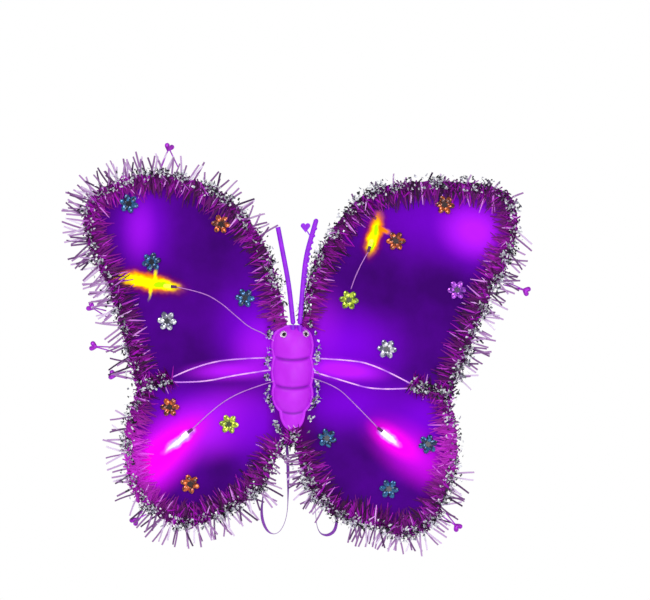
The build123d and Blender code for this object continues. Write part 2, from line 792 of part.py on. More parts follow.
pupil_way = {"left": 170.0, "right": 35.0}
for side_name, frame in eye_frames.items():
    seat = frame.offset(eye_standoff)
    back = Pos(0, 0, eye_back_thickness / 2) * Cylinder(eye_diameter / 2, eye_back_thickness)
    write(side_name + "_eye_back", seat * back)
    write(side_name + "_eye_dome", seat * eye_dome())
    turn = radians(pupil_way[side_name])
    pupil_height = eye_back_thickness + pupil_play + pupil_thickness / 2
    pupil = Pos(pupil_offset * cos(turn), pupil_offset * sin(turn), pupil_height)
    write(side_name + "_pupil", seat * pupil * Cylinder(pupil_diameter / 2, pupil_thickness))


# ---- antennae ----
def antenna(points, rounded_tip):
    stalk = bent_wire(points, antenna_diameter, antenna_depth)
    x, z = points[0]
    stalk += Pos(x, -antenna_depth, z) * Sphere(antenna_diameter / 2)
    if rounded_tip:
        x, z = points[-1]
        stalk += Pos(x, -antenna_depth, z) * Sphere(antenna_diameter / 2)
    return stalk


root_top = antenna_pivot_height - antenna_diameter / 2 - antenna_gap
root_length = root_top - antenna_root_bottom
roots = []
for x in antenna_x.values():
    middle = Pos(x, -antenna_depth, antenna_root_bottom + root_length / 2)
    roots.append(middle * Cylinder(antenna_diameter / 2, root_length))
write_group("antenna_roots", roots)
write("left_antenna", antenna(left_antenna_points, False))
right_antenna = antenna(right_antenna_points, True)
write("right_antenna", right_antenna)
heart_back = antenna_depth - antenna_heart_thickness / 2
antenna_heart = heart_plate(*antenna_heart_place, antenna_heart_size, heart_back, antenna_heart_thickness)
antenna_heart += foil_strand(heart_stem[0], heart_stem[1], heart_back + foil_thickness)
write("antenna_heart", antenna_heart - right_antenna)


# ---- arm loops ----
def arm_loop(side, route):
    start = (side * (inner - loop_end_inset), loop_depth, loop_top_height)
    end = (side * loop_bottom_x, loop_depth, -half_height + wall + loop_end_inset)
    points = [(x, -depth, z) for x, depth, z in [start] + route + [end]]
    path = FilletPolyline(*points, radius=corner_radii(points))
    radii = [round(radius, 1) for radius in corner_radii(points)]
    loop = tube(path, loop_diameter)
    print("arm loop: length", round(path.length, 1), "radii", radii)
    print("volume over section x length", round(loop.volume / (path.length * pi * loop_diameter**2 / 4), 4))
    return loop


def knots(side):
    knot = Cylinder(knot_diameter / 2, knot_length)
    knot = fillet(knot.edges(), 1.0)
    inset = loop_end_inset + knot_length / 2
    top = Pos(side * (inner - inset), -loop_depth, loop_top_height) * Rot(0, 90, 0)
    bottom = Pos(side * loop_bottom_x, -loop_depth, -half_height + wall + inset)
    return [top * knot, bottom * knot]


write("left_arm_loop", arm_loop(-1, left_loop_route))
write("right_arm_loop", arm_loop(1, right_loop_route))
write_group("arm_loop_knots", knots(-1) + knots(1))
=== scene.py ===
import math

import bmesh
import bpy
from mathutils import Matrix, Vector
from mathutils.geometry import delaunay_2d_cdt
from mathutils.kdtree import KDTree


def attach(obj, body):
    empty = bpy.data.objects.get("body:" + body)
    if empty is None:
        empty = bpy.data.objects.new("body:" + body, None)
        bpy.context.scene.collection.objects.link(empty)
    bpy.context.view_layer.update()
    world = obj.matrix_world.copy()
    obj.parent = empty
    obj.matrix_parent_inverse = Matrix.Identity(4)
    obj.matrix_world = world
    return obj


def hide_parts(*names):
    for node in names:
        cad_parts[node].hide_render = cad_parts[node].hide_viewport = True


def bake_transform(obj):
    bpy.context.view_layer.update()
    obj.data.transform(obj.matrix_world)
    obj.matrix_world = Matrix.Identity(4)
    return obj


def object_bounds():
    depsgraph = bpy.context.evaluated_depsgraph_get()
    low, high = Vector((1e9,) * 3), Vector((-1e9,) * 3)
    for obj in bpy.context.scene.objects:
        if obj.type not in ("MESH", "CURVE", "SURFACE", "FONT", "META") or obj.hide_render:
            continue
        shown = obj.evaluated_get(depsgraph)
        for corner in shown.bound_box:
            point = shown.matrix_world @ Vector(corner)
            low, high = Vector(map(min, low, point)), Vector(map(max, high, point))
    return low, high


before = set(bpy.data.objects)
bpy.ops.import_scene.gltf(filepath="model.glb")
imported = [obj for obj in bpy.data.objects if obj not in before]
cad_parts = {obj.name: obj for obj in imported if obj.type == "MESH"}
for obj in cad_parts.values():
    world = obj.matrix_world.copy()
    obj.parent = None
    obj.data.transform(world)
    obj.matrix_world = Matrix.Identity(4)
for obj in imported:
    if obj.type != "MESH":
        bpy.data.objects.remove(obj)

cad_low, cad_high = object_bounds()
scene = bpy.context.scene

# ---- studio ----
# A pale floor well under the hanging wings, three large soft lights in front, one behind,
# and a long lens square on to the decorated face.
mm = 0.001
face_depth = -17.7 * mm
view_width = 0.7475
view_middle_x = 37.4 * mm
view_middle_z = 86.3 * mm
camera_distance = 3.0
sensor_width = 36.0
camera_data = bpy.data.cameras.new("camera")
camera_data.sensor_width = sensor_width
camera_data.lens = sensor_width * camera_distance / view_width
camera_data.clip_end = 30.0
camera = bpy.data.objects.new("camera", camera_data)
camera.location = (view_middle_x, face_depth - camera_distance, view_middle_z)
camera.rotation_euler = (math.radians(90), 0, 0)
scene.collection.objects.link(camera)
scene.camera = camera
scene.view_settings.view_transform = "Standard"


def set_inputs(tree, node, inputs):
    """Set each named input to a value, or link it to another node's output."""
    for label, value in inputs.items():
        if isinstance(value, bpy.types.NodeSocket):
            tree.links.new(value, node.inputs[label])
        else:
            node.inputs[label].default_value = value


def add_node(tree, kind, inputs=None, **settings):
    node = tree.nodes.new(kind)
    for label, value in settings.items():
        setattr(node, label, value)
    set_inputs(tree, node, inputs or {})
    return node


def new_material(name):
    """A Principled material, its tree and its shader, which every finish below works on."""
    material = bpy.data.materials.new(name)
    material.use_nodes = True
    return material, material.node_tree, material.node_tree.nodes["Principled BSDF"]


floor_material, tree, shader = new_material("studio floor")
grain = add_node(tree, "ShaderNodeTexNoise", {"Scale": 30.0})
tint = add_node(tree, "ShaderNodeMapRange", {"Value": grain.outputs["Fac"], "To Min": 0.93, "To Max": 0.96})
set_inputs(tree, shader, {"Base Color": tint.outputs["Result"], "Roughness": 0.9})
floor_drop = 0.26
floor_half = 1.2
floor_mesh = bpy.data.meshes.new("studio_floor")
floor_height = cad_low.z - floor_drop
corners = [(-1, -1), (1, -1), (1, 1), (-1, 1)]
floor_corners = [(x * floor_half, y * floor_half, floor_height) for x, y in corners]
floor_mesh.from_pydata(floor_corners, [], [(0, 1, 2, 3)])
floor_mesh.materials.append(floor_material)
floor = bpy.data.objects.new("studio_floor", floor_mesh)
scene.collection.objects.link(floor)

world = bpy.data.worlds.new("studio")
world.use_nodes = True
scene.world = world
sky = world.node_tree
backdrop = sky.nodes["Background"]
set_inputs(sky, backdrop, {"Color": (1, 1, 1, 1), "Strength": 1.0})
room_light = add_node(sky, "ShaderNodeBackground", {"Color": (0.93, 0.94, 1.0, 1), "Strength": 0.5})
ray = add_node(sky, "ShaderNodeLightPath")
choose = add_node(sky, "ShaderNodeMixShader", {
    "Fac": ray.outputs["Is Camera Ray"],
    1: room_light.outputs["Background"], 2: backdrop.outputs["Background"]})
set_inputs(sky, sky.nodes["World Output"], {"Surface": choose.outputs["Shader"]})

# Each softbox: its place, its width in metres and its power in watts.
softboxes = {
    "key_light": ((-1.1, -1.9, 1.5), 1.1, 20.0),
    "fill_light": ((1.4, -1.7, 0.5), 0.9, 8.0),
    "low_light": ((0.2, -1.6, -0.15), 0.5, 4.0),
    "back_light": ((-0.6, 2.0, 1.3), 1.2, 22.0),
}
aim = Vector((0.0, 0.0, 0.03))
for name, (place, size, power) in softboxes.items():
    data = bpy.data.lights.new(name, "AREA")
    data.size = size
    data.energy = power
    lamp = bpy.data.objects.new(name, data)
    lamp.location = place
    lamp.rotation_euler = (aim - Vector(place)).to_track_quat("-Z", "Y").to_euler()
    scene.collection.objects.link(lamp)


# ---- elastic arm loops ----
# Flat woven elastic, 4 mm wide. Each loop is knotted inside the rear case, comes out of its side,
# hangs down behind the wings and goes back up into the bottom of the case.
def smooth_line(points, steps=12):
    """Points along one smooth NURBS line that follows a given route."""
    data = bpy.data.curves.new("route", "CURVE")
    data.dimensions = "3D"
    data.resolution_u = steps
    spline = data.splines.new("NURBS")
    spline.points.add(len(points) - 1)
    for knot, place in zip(spline.points, points):
        knot.co = (*place, 1.0)
    spline.order_u = 3
    spline.use_endpoint_u = True
    holder = bpy.data.objects.new("route", data)
    mesh = bpy.data.meshes.new_from_object(holder)
    line = [vertex.co.copy() for vertex in mesh.vertices]
    bpy.data.objects.remove(holder)
    bpy.data.curves.remove(data)
    bpy.data.meshes.remove(mesh)
    return line


def mesh_object(name, vertices, faces, material, smooth=True):
    mesh = bpy.data.meshes.new(name)
    mesh.from_pydata([tuple(place) for place in vertices], [], faces)
    mesh.materials.append(material)
    if smooth:
        mesh.shade_smooth()
    mesh.validate()
    mesh.update()
    thing = bpy.data.objects.new(name, mesh)
    scene.collection.objects.link(thing)
    return thing


def strip_along(line, half_width, half_thickness, sides=10, twist=None, width_at=None):
    """Vertices and faces of a closed oval bar that follows a line; returns them for mesh_object."""
    count = len(line)
    tangents = [(line[min(i + 1, count - 1)] - line[max(i - 1, 0)]).normalized() for i in range(count)]
    across = tangents[0].cross(Vector((0, 1, 0)))
    if across.length < 0.1:
        across = tangents[0].cross(Vector((1, 0, 0)))
    across.normalize()
    vertices, faces = [], []
    for i, (place, tangent) in enumerate(zip(line, tangents)):
        if i:
            across = tangents[i - 1].rotation_difference(tangent) @ across
        across = (across - tangent * across.dot(tangent)).normalized()
        up = tangent.cross(across)
        share = i / (count - 1)
        turn = twist(share) if twist else 0.0
        scale = width_at(share) if width_at else 1.0
        for side in range(sides):
            angle = 2 * math.pi * side / sides
            wide = math.cos(angle) * half_width * scale
            deep = math.sin(angle) * half_thickness * scale
            offset_across = wide * math.cos(turn) - deep * math.sin(turn)
            offset_up = wide * math.sin(turn) + deep * math.cos(turn)
            vertices.append(place + across * offset_across + up * offset_up)
    for i in range(count - 1):
        for side in range(sides):
            following = (side + 1) % sides
            here, there = i * sides, (i + 1) * sides
            faces.append((here + side, here + following, there + following, there + side))
    faces.append(tuple(reversed(range(sides))))
    faces.append(tuple(range((count - 1) * sides, count * sides)))
    return vertices, faces


def colour_ramp(tree, value, *stops):
    """A colour that follows a value, from (position, colour) stops."""
    ramp = add_node(tree, "ShaderNodeValToRGB", {"Fac": value})
    elements = ramp.color_ramp.elements
    while len(elements) < len(stops):
        elements.new(0.5)
    for element, (position, colour) in zip(elements, stops):
        element.position = position
        element.color = (*colour, 1)
    return ramp.outputs["Color"]


def bumped(tree, height, strength, distance):
    bump = add_node(tree, "ShaderNodeBump", {"Height": height, "Strength": strength, "Distance": distance})
    return bump.outputs["Normal"]


elastic, tree, shader = new_material("woven violet elastic")
coordinates = add_node(tree, "ShaderNodeTexCoord")
ribs = add_node(tree, "ShaderNodeTexWave", {
    "Vector": coordinates.outputs["Object"], "Scale": 420.0, "Distortion": 1.5}, bands_direction="Z")
set_inputs(tree, shader, {
    "Base Color": colour_ramp(
        tree, ribs.outputs["Fac"], (0.0, (0.16, 0.01, 0.33)), (1.0, (0.36, 0.05, 0.62))),
    "Normal": bumped(tree, ribs.outputs["Fac"], 0.5, 0.0003), "Roughness": 0.7, "Sheen Weight": 0.5})

loop_width = 4.0 * mm
loop_routes = {
    "left": [
        (-10.9, -7, 39.5), (-27, -7, 39.5), (-36, -6, 20), (-39, -5, -18), (-37, -5, -62), (-33, -5, -106),
        (-33.5, -5, -136), (-37, -5, -163), (-29, -5, -183), (-16, -5, -184.5), (-6, -5, -165),
        (-5, -5, -128), (-5.6, -6, -95), (-8, -7, -64), (-8, -7, -43.9),
    ],
    "right": [
        (10.9, -7, 39.5), (27, -7, 39.5), (37, -6, 20), (45, -5, -16), (49, -5, -58), (50, -5, -100),
        (50.4, -5, -146), (51.5, -5, -178), (40, -5, -187), (28, -5, -181), (26, -5, -150),
        (22, -5, -118), (14, -6, -88), (8, -7, -64), (8, -7, -43.9),
    ],
}
for side, route in loop_routes.items():
    line = smooth_line([Vector(place) * mm for place in route])
    vertices, faces = strip_along(line, 0.35 * mm, loop_width / 2, sides=12,
                                  twist=lambda share: 1.1 * math.sin(9 * share) ** 3)
    loop = mesh_object(side + "_elastic_loop", vertices, faces, elastic)
    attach(loop, "centre")
    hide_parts(side + "_arm_loop")


# ---- cloth ----
# Sheer violet cloth stretched over the front of each wing's wires and turned over them at the edge.
# The lamps light it from the front, so it glows yellow above and magenta below.
wing_edges = {
    "left": [
        [(-5, 40), (-17, 104), (-38, 163), (-82, 213), (-152, 234), (-208, 222), (-241, 196),
         (-235, 150), (-208, 96), (-188, 30), (-178, -14)],
        [(-178, -20), (-193, -60), (-189, -122), (-170, -152), (-122, -178), (-76, -157),
         (-32, -128), (-22, -96), (-5, -76), (-6, -38)],
    ],
    "right": [
        [(7, 40), (15, 104), (42, 160), (82, 212), (140, 222), (226, 220), (258, 200),
         (256, 150), (224, 90), (206, 40), (181, -25)],
        [(181, -32), (187, -60), (188, -108), (174, -140), (160, -176), (124, -187), (98, -170),
         (50, -166), (18, -128), (8, -94), (4, -76), (6, -38)],
    ],
}
cloth_middle = -17.3 * mm
wire_middle = -15.7 * mm


def flat_line(points, depth):
    return smooth_line([Vector((x * mm, depth, z * mm)) for x, z in points])


def bend_with_wing(piece):
    """Bake the piece's placement into its mesh."""
    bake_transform(piece)


def keep_sewn_places(piece):
    """Note where each point lies on the flat wing, so that colour is laid by these places."""
    layer = piece.data.attributes.new("sewn_place", "FLOAT_VECTOR", "POINT")
    layer.data.foreach_set("vector", [value for point in piece.data.vertices for value in point.co])


def sewn_place(tree):
    return add_node(tree, "ShaderNodeAttribute", attribute_name="sewn_place").outputs["Vector"]


edge_lines = {}
for side, (upper, lower) in wing_edges.items():
    edge_lines[side] = flat_line(upper, cloth_middle) + flat_line(lower, cloth_middle)


def cloth_mesh(side):
    """A dense flat net inside the wing's edge, with small puckers where it is pulled over the wire."""
    edge = edge_lines[side]
    outline = [Vector((place.x, place.z)) for place in edge]
    top, bottom = outline[0].y, outline[-1].y
    outline += [Vector((0, bottom)), Vector((0, (top + bottom) / 2)), Vector((0, top))]
    border = [(i, (i + 1) % len(outline)) for i in range(len(outline))]
    cell = 4.2 * mm
    low_x, high_x = min(p.x for p in outline), max(p.x for p in outline)
    low_z, high_z = min(p.y for p in outline), max(p.y for p in outline)
    net = []
    row = 0
    height = low_z
    while height < high_z:
        x = low_x + (row % 2) * cell / 2
        while x < high_x:
            net.append(Vector((x, height)))
            x += cell
        height += cell * 0.87
        row += 1
    near_edge = KDTree(len(edge))
    for i, place in enumerate(edge):
        near_edge.insert(place, i)
    near_edge.balance()
    net = [p for p in net if near_edge.find((p.x, cloth_middle, p.y))[2] > cell * 0.45]
    result = delaunay_2d_cdt(outline + net, border, [list(range(len(outline)))], 1, 1e-6)
    places, triangles = result[0], result[2]
    vertices, reach = [], []
    for place in places:
        point, index, gap = near_edge.find((place.x, cloth_middle, place.y))
        fold = math.exp(-gap / (11 * mm))
        pucker = 0.28 * mm * fold * math.sin(index * 1.9) + 0.1 * mm * math.sin(place.x * 70 + place.y * 40)
        vertices.append(Vector((place.x, cloth_middle + pucker, place.y)))
        reach.append(min(gap / (60 * mm), 1.0))
    faces = [tuple(triangle) for triangle in triangles]
    area = sum((vertices[a] - vertices[b]).cross(vertices[c] - vertices[b]).length / 2 for a, b, c in faces)
    return vertices, faces, reach, area


def open_tree(name, kind, inputs, outputs):
    """A node tree with named inputs, each a socket type and a value; returns it and its two ends."""
    tree = bpy.data.node_groups.new(name, kind)
    for way, sockets in (("INPUT", inputs), ("OUTPUT", outputs)):
        for label, (socket_type, value) in sockets.items():
            socket = tree.interface.new_socket(label, in_out=way, socket_type="NodeSocket" + socket_type)
            if value is not None:
                socket.default_value = value
    return tree, tree.nodes.new("NodeGroupInput").outputs, tree.nodes.new("NodeGroupOutput")


def patch_group():
    """A soft elongated patch on the cloth: 1 at its centre, 0 outside its size."""
    tree, given, leave = open_tree("soft patch", "ShaderNodeTree", {
        "Place": ("Vector", None), "Centre": ("Vector", None),
        "Size": ("Vector", None), "Turn": ("Float", None),
    }, {"Mask": ("Float", None)})
    away = add_node(
        tree, "ShaderNodeVectorMath", {0: given["Place"], 1: given["Centre"]}, operation="SUBTRACT")
    turned = add_node(tree, "ShaderNodeVectorRotate", {
        "Vector": away.outputs["Vector"], "Angle": given["Turn"]}, rotation_type="Y_AXIS")
    sized = add_node(tree, "ShaderNodeVectorMath", {
        0: turned.outputs["Vector"], 1: given["Size"]}, operation="DIVIDE")
    distance = add_node(tree, "ShaderNodeVectorMath", {0: sized.outputs["Vector"]}, operation="LENGTH")
    fade = add_node(tree, "ShaderNodeMapRange", {
        "Value": distance.outputs["Value"], "From Min": 1.0, "From Max": 0.0,
    }, interpolation_type="SMOOTHSTEP")
    set_inputs(tree, leave, {"Mask": fade.outputs["Result"]})
    return tree


soft_patch = patch_group()


def lay_colour(tree, below, mask, colour, strength=1.0):
    """Mix a colour over what is below, as strongly as the mask says."""
    scaled = add_node(tree, "ShaderNodeMath", {0: mask, 1: strength}, operation="MULTIPLY", use_clamp=True)
    mix = add_node(tree, "ShaderNodeMix", {
        "Factor": scaled.outputs["Value"], "A": below, "B": colour}, data_type="RGBA")
    return mix.outputs["Result"]


def lay_patches(tree, colour, place, patches):
    """Lay soft patches over a colour in turn: centre, size, turn in degrees, tone and strength."""
    for centre, size, turn, tone, strength in patches:
        patch = add_node(tree, "ShaderNodeGroup", node_tree=soft_patch)
        set_inputs(tree, patch, {
            "Place": place, "Centre": (centre[0] * mm, cloth_middle, centre[1] * mm),
            "Size": (size[0] * mm, 1.0, size[1] * mm), "Turn": math.radians(turn)})
        colour = lay_colour(tree, colour, patch.outputs["Mask"], tone, strength)
    return colour


# Patches on the cloth for each side: centre, size, turn, colour, strength; the magenta and hot pink ones
# round the lower lamps are painted lamp glow.
violet_light = (0.17, 0.0, 0.58, 1)
lilac_light = (0.42, 0.008, 0.82, 1)
painted_magenta_glow = (0.64, 0.002, 0.84, 1)
painted_pink_glow = (0.9, 0.0, 0.72, 1)
cloth_patches = {
    "left": [
        ((-172, 172), (48, 75), 0, violet_light, 0.85), ((-176, 168), (26, 54), 0, lilac_light, 0.4),
        ((-40, 50), (75, 75), 0, violet_light, 0.9), ((-34, 30), (48, 48), 0, lilac_light, 0.6),
        ((-105, -50), (112, 56), -10, violet_light, 0.9), ((-95, -58), (100, 52), 20, lilac_light, 0.8),
        ((-40, -60), (60, 60), 0, violet_light, 0.7), ((-72, 5), (70, 16), 2, lilac_light, 0.95),
        ((-160, -100), (100, 46), 45, painted_magenta_glow, 1.4), ((-150, -90), (80, 26), 40, painted_pink_glow, 1.3),
    ],
    "right": [
        ((150, 178), (100, 62), 0, violet_light, 0.6), ((205, 165), (62, 62), 0, violet_light, 1.0),
        ((209, 165), (54, 42), -20, lilac_light, 1.1), ((60, 36), (95, 62), 0, violet_light, 1.0),
        ((30, 60), (40, 70), 0, lilac_light, 0.35), ((66, -32), (100, 48), 0, violet_light, 0.85),
        ((58, 6), (68, 17), -6, lilac_light, 1.3), ((150, -50), (70, 60), 20, violet_light, 0.9),
        ((140, -92), (84, 40), -36, painted_magenta_glow, 0.8), ((118, -76), (46, 20), -36, painted_pink_glow, 1.2),
    ],
}
# The lit flare round each lamp: patches from the dark rim in to the hot core.
flare_rim = (0.22, 0.0, 0.02, 1)
flare_orange = (1.0, 0.22, 0.0, 1)
flare_yellow = (1.0, 0.78, 0.0, 1)
flare_core = (0.42, 1.0, 0.0, 1)
flare_white = (0.86, 0.72, 1.0, 1)
flare_blue = (0.3, 0.42, 1.0, 1)
flares = {
    "left": [
        ((-168, 107), (58, 18), -11, flare_rim, 1.6), ((-168, 107), (50, 13), -11, flare_orange, 2.0),
        ((-176, 108), (38, 9), -11, flare_yellow, 2.4), ((-148, 103), (24, 8), -8, flare_yellow, 2.2),
        ((-160, 106), (3.5, 24), -16, flare_yellow, 1.8), ((-150, 103), (15, 4.5), -8, flare_core, 2.2),
        ((-131, -76), (27, 7), 37, flare_blue, 1.4), ((-130, -75), (25, 3.6), 37, flare_white, 2.4),
    ],
    "right": [
        ((94, 162), (16, 38), -12, flare_rim, 1.6), ((94, 162), (11, 32), -12, flare_orange, 2.0),
        ((93, 160), (7, 26), -12, flare_yellow, 2.4), ((103, 168), (13, 4), -30, flare_orange, 1.6),
        ((96, 168), (4, 9), -12, flare_core, 1.8), ((91, 150), (4.5, 9), -12, flare_core, 2.0),
        ((111, -72), (21, 7), -37, flare_blue, 1.4), ((111, -72), (18, 4), -37, flare_white, 2.4),
    ],
}


def cloth_material(side):
    material, tree, shader = new_material(side + " sheer cloth")
    place = sewn_place(tree)
    folds = add_node(tree, "ShaderNodeTexNoise", {"Vector": place, "Scale": 14.0, "Detail": 6.0})
    colour = colour_ramp(tree, folds.outputs["Fac"], (0.35, (0.036, 0.0, 0.118)), (0.68, (0.07, 0.0, 0.235)))
    colour = lay_patches(tree, colour, place, cloth_patches[side])
    # The cloth is darker towards its edge, fading out about 25 mm in.
    reach = add_node(tree, "ShaderNodeAttribute", attribute_name="edge_reach")
    rim = add_node(tree, "ShaderNodeMapRange", {
        "Value": reach.outputs["Fac"], "From Min": 0.0, "From Max": 0.42, "To Min": 1.0, "To Max": 0.0})
    colour = lay_colour(tree, colour, rim.outputs["Result"], (0.07, 0.0, 0.085, 1), 0.9)
    ripple = add_node(tree, "ShaderNodeTexNoise", {"Vector": place, "Scale": 90.0})
    wobble = add_node(tree, "ShaderNodeMixRGB", {
        "Fac": 0.004, "Color1": place, "Color2": ripple.outputs["Color"]}, blend_type="LINEAR_LIGHT")
    colour = lay_patches(tree, colour, wobble.outputs["Color"], flares[side])
    threads = [add_node(tree, "ShaderNodeTexWave", {"Vector": place, "Scale": 380.0}, bands_direction=way)
               for way in "XZ"]
    crossing = add_node(tree, "ShaderNodeMath", {
        0: threads[0].outputs["Fac"], 1: threads[1].outputs["Fac"]}, operation="ADD")
    # The cloth also gives out its whole colour as a faint painted glow.
    set_inputs(tree, shader, {
        "Base Color": colour, "Emission Color": colour, "Emission Strength": 0.35, "Roughness": 0.5,
        "Specular IOR Level": 0.03, "Normal": bumped(tree, crossing.outputs["Value"], 0.25, 0.0003)})
    return material


cloth_nodes = {"left": ("left_fabric", "centre_fabric"), "right": ("right_fabric",)}
for side in ("left", "right"):
    vertices, faces, reach, area = cloth_mesh(side)
    cloth = mesh_object(side + "_wing_cloth", vertices, faces, cloth_material(side))
    layer = cloth.data.attributes.new("edge_reach", "FLOAT", "POINT")
    layer.data.foreach_set("value", reach)
    keep_sewn_places(cloth)
    thickness = cloth.modifiers.new("cloth thickness", "SOLIDIFY")
    thickness.thickness = 0.45 * mm
    thickness.offset = 0.0
    bend_with_wing(cloth)
    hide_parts(*cloth_nodes[side])


# ---- wires and hems ----
# Coated steel wire, 2.4 mm, bent by hand into an upper and a lower loop for each wing. The cloth's
# edge is rolled round it as a dark hem; the two vein wires show through the cloth as pale ridges.
vein_lines = {
    "left": [[(-178, -14), (-139, -3), (-104, 14), (-50, 20), (-9, 20)],
             [(-9, 8), (-62, 1), (-105, -9), (-139, -8), (-178, -20)]],
    "right": [[(181, -25), (136, -10), (96, 12), (60, 18), (9, 20)],
              [(9, 8), (60, -7), (96, -18), (136, -15), (181, -32)]],
}


def mottled_finish(name, dark, light, scale, roughness,
                   ramp=(0.35, 0.65), detail=5.0, metallic=0.0, coat=0.0,
                   grain_height=0.0, glow=0.0):
    """A plain surface: a slow change between two tones, and fine grain or a glow where it has them."""
    material, tree, shader = new_material(name)
    place = add_node(tree, "ShaderNodeTexCoord").outputs["Object"]
    noise = add_node(tree, "ShaderNodeTexNoise", {"Vector": place, "Scale": scale, "Detail": detail})
    tones = colour_ramp(tree, noise.outputs["Fac"], (ramp[0], dark), (ramp[1], light))
    set_inputs(tree, shader, {
        "Base Color": tones, "Roughness": roughness, "Metallic": metallic, "Coat Weight": coat})
    if grain_height:
        grain = add_node(tree, "ShaderNodeTexNoise", {"Vector": place, "Scale": 900.0})
        set_inputs(tree, shader, {"Normal": bumped(tree, grain.outputs["Fac"], 0.4, grain_height)})
    if glow:
        set_inputs(tree, shader, {"Emission Color": tones, "Emission Strength": glow})
    return material


def gathered(parts):
    """Several lists of vertices and faces as one."""
    vertices, faces = [], []
    for part_vertices, part_faces in parts:
        faces += [tuple(i + len(vertices) for i in face) for face in part_faces]
        vertices += part_vertices
    return vertices, faces


def bars_along(name, lines, half_width, half_thickness, material, sides=10):
    """One piece made of a bar along each line."""
    parts = [strip_along(line, half_width, half_thickness, sides=sides) for line in lines]
    return mesh_object(name, *gathered(parts), material)


wire_coat = mottled_finish("violet coated wire", (0.05, 0.0, 0.1), (0.2, 0.02, 0.32), 160.0, 0.35,
                           ramp=(0.0, 1.0), detail=2.0)
hem_cloth = mottled_finish("dark rolled hem", (0.004, 0.0, 0.008), (0.09, 0.0, 0.12), 220.0, 0.6,
                           ramp=(0.4, 1.0), detail=2.0)
vein_cloth = mottled_finish("pale vein ridge", (0.55, 0.1, 0.95), (1.0, 0.5, 1.0), 70.0, 0.3,
                            ramp=(0.3, 0.62), detail=2.0)
frame_nodes = {"left": ["left_upper_frame", "left_lower_frame", "centre_frame_wires"],
               "right": ["right_upper_frame", "right_lower_frame"]}
wire_radius = 1.2 * mm
hem_middle = wire_middle - 0.25 * mm
ridge_middle = cloth_middle - 0.2 * mm
for side, (upper, lower) in wing_edges.items():
    upper_vein, lower_vein = vein_lines[side]
    bent_wires = (upper + upper_vein[1:], lower_vein[:-1] + lower)
    wire_runs = [flat_line(points, wire_middle) for points in bent_wires]
    wires = bars_along(side + "_wing_wires", wire_runs, wire_radius, wire_radius, wire_coat)
    bend_with_wing(wires)
    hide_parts(*frame_nodes[side])
    hem_runs = [flat_line(points, hem_middle)[6:-6] for points in (upper, lower)]
    hem = bars_along(side + "_wing_hem", hem_runs, 1.75 * mm, 1.95 * mm, hem_cloth)
    bend_with_wing(hem)
    vein_runs = [flat_line(points, ridge_middle) for points in (upper_vein[1:], lower_vein[:-1])]
    ridge = bars_along(side + "_vein_ridges", vein_runs, 0.85 * mm, 0.45 * mm, vein_cloth)
    bend_with_wing(ridge)


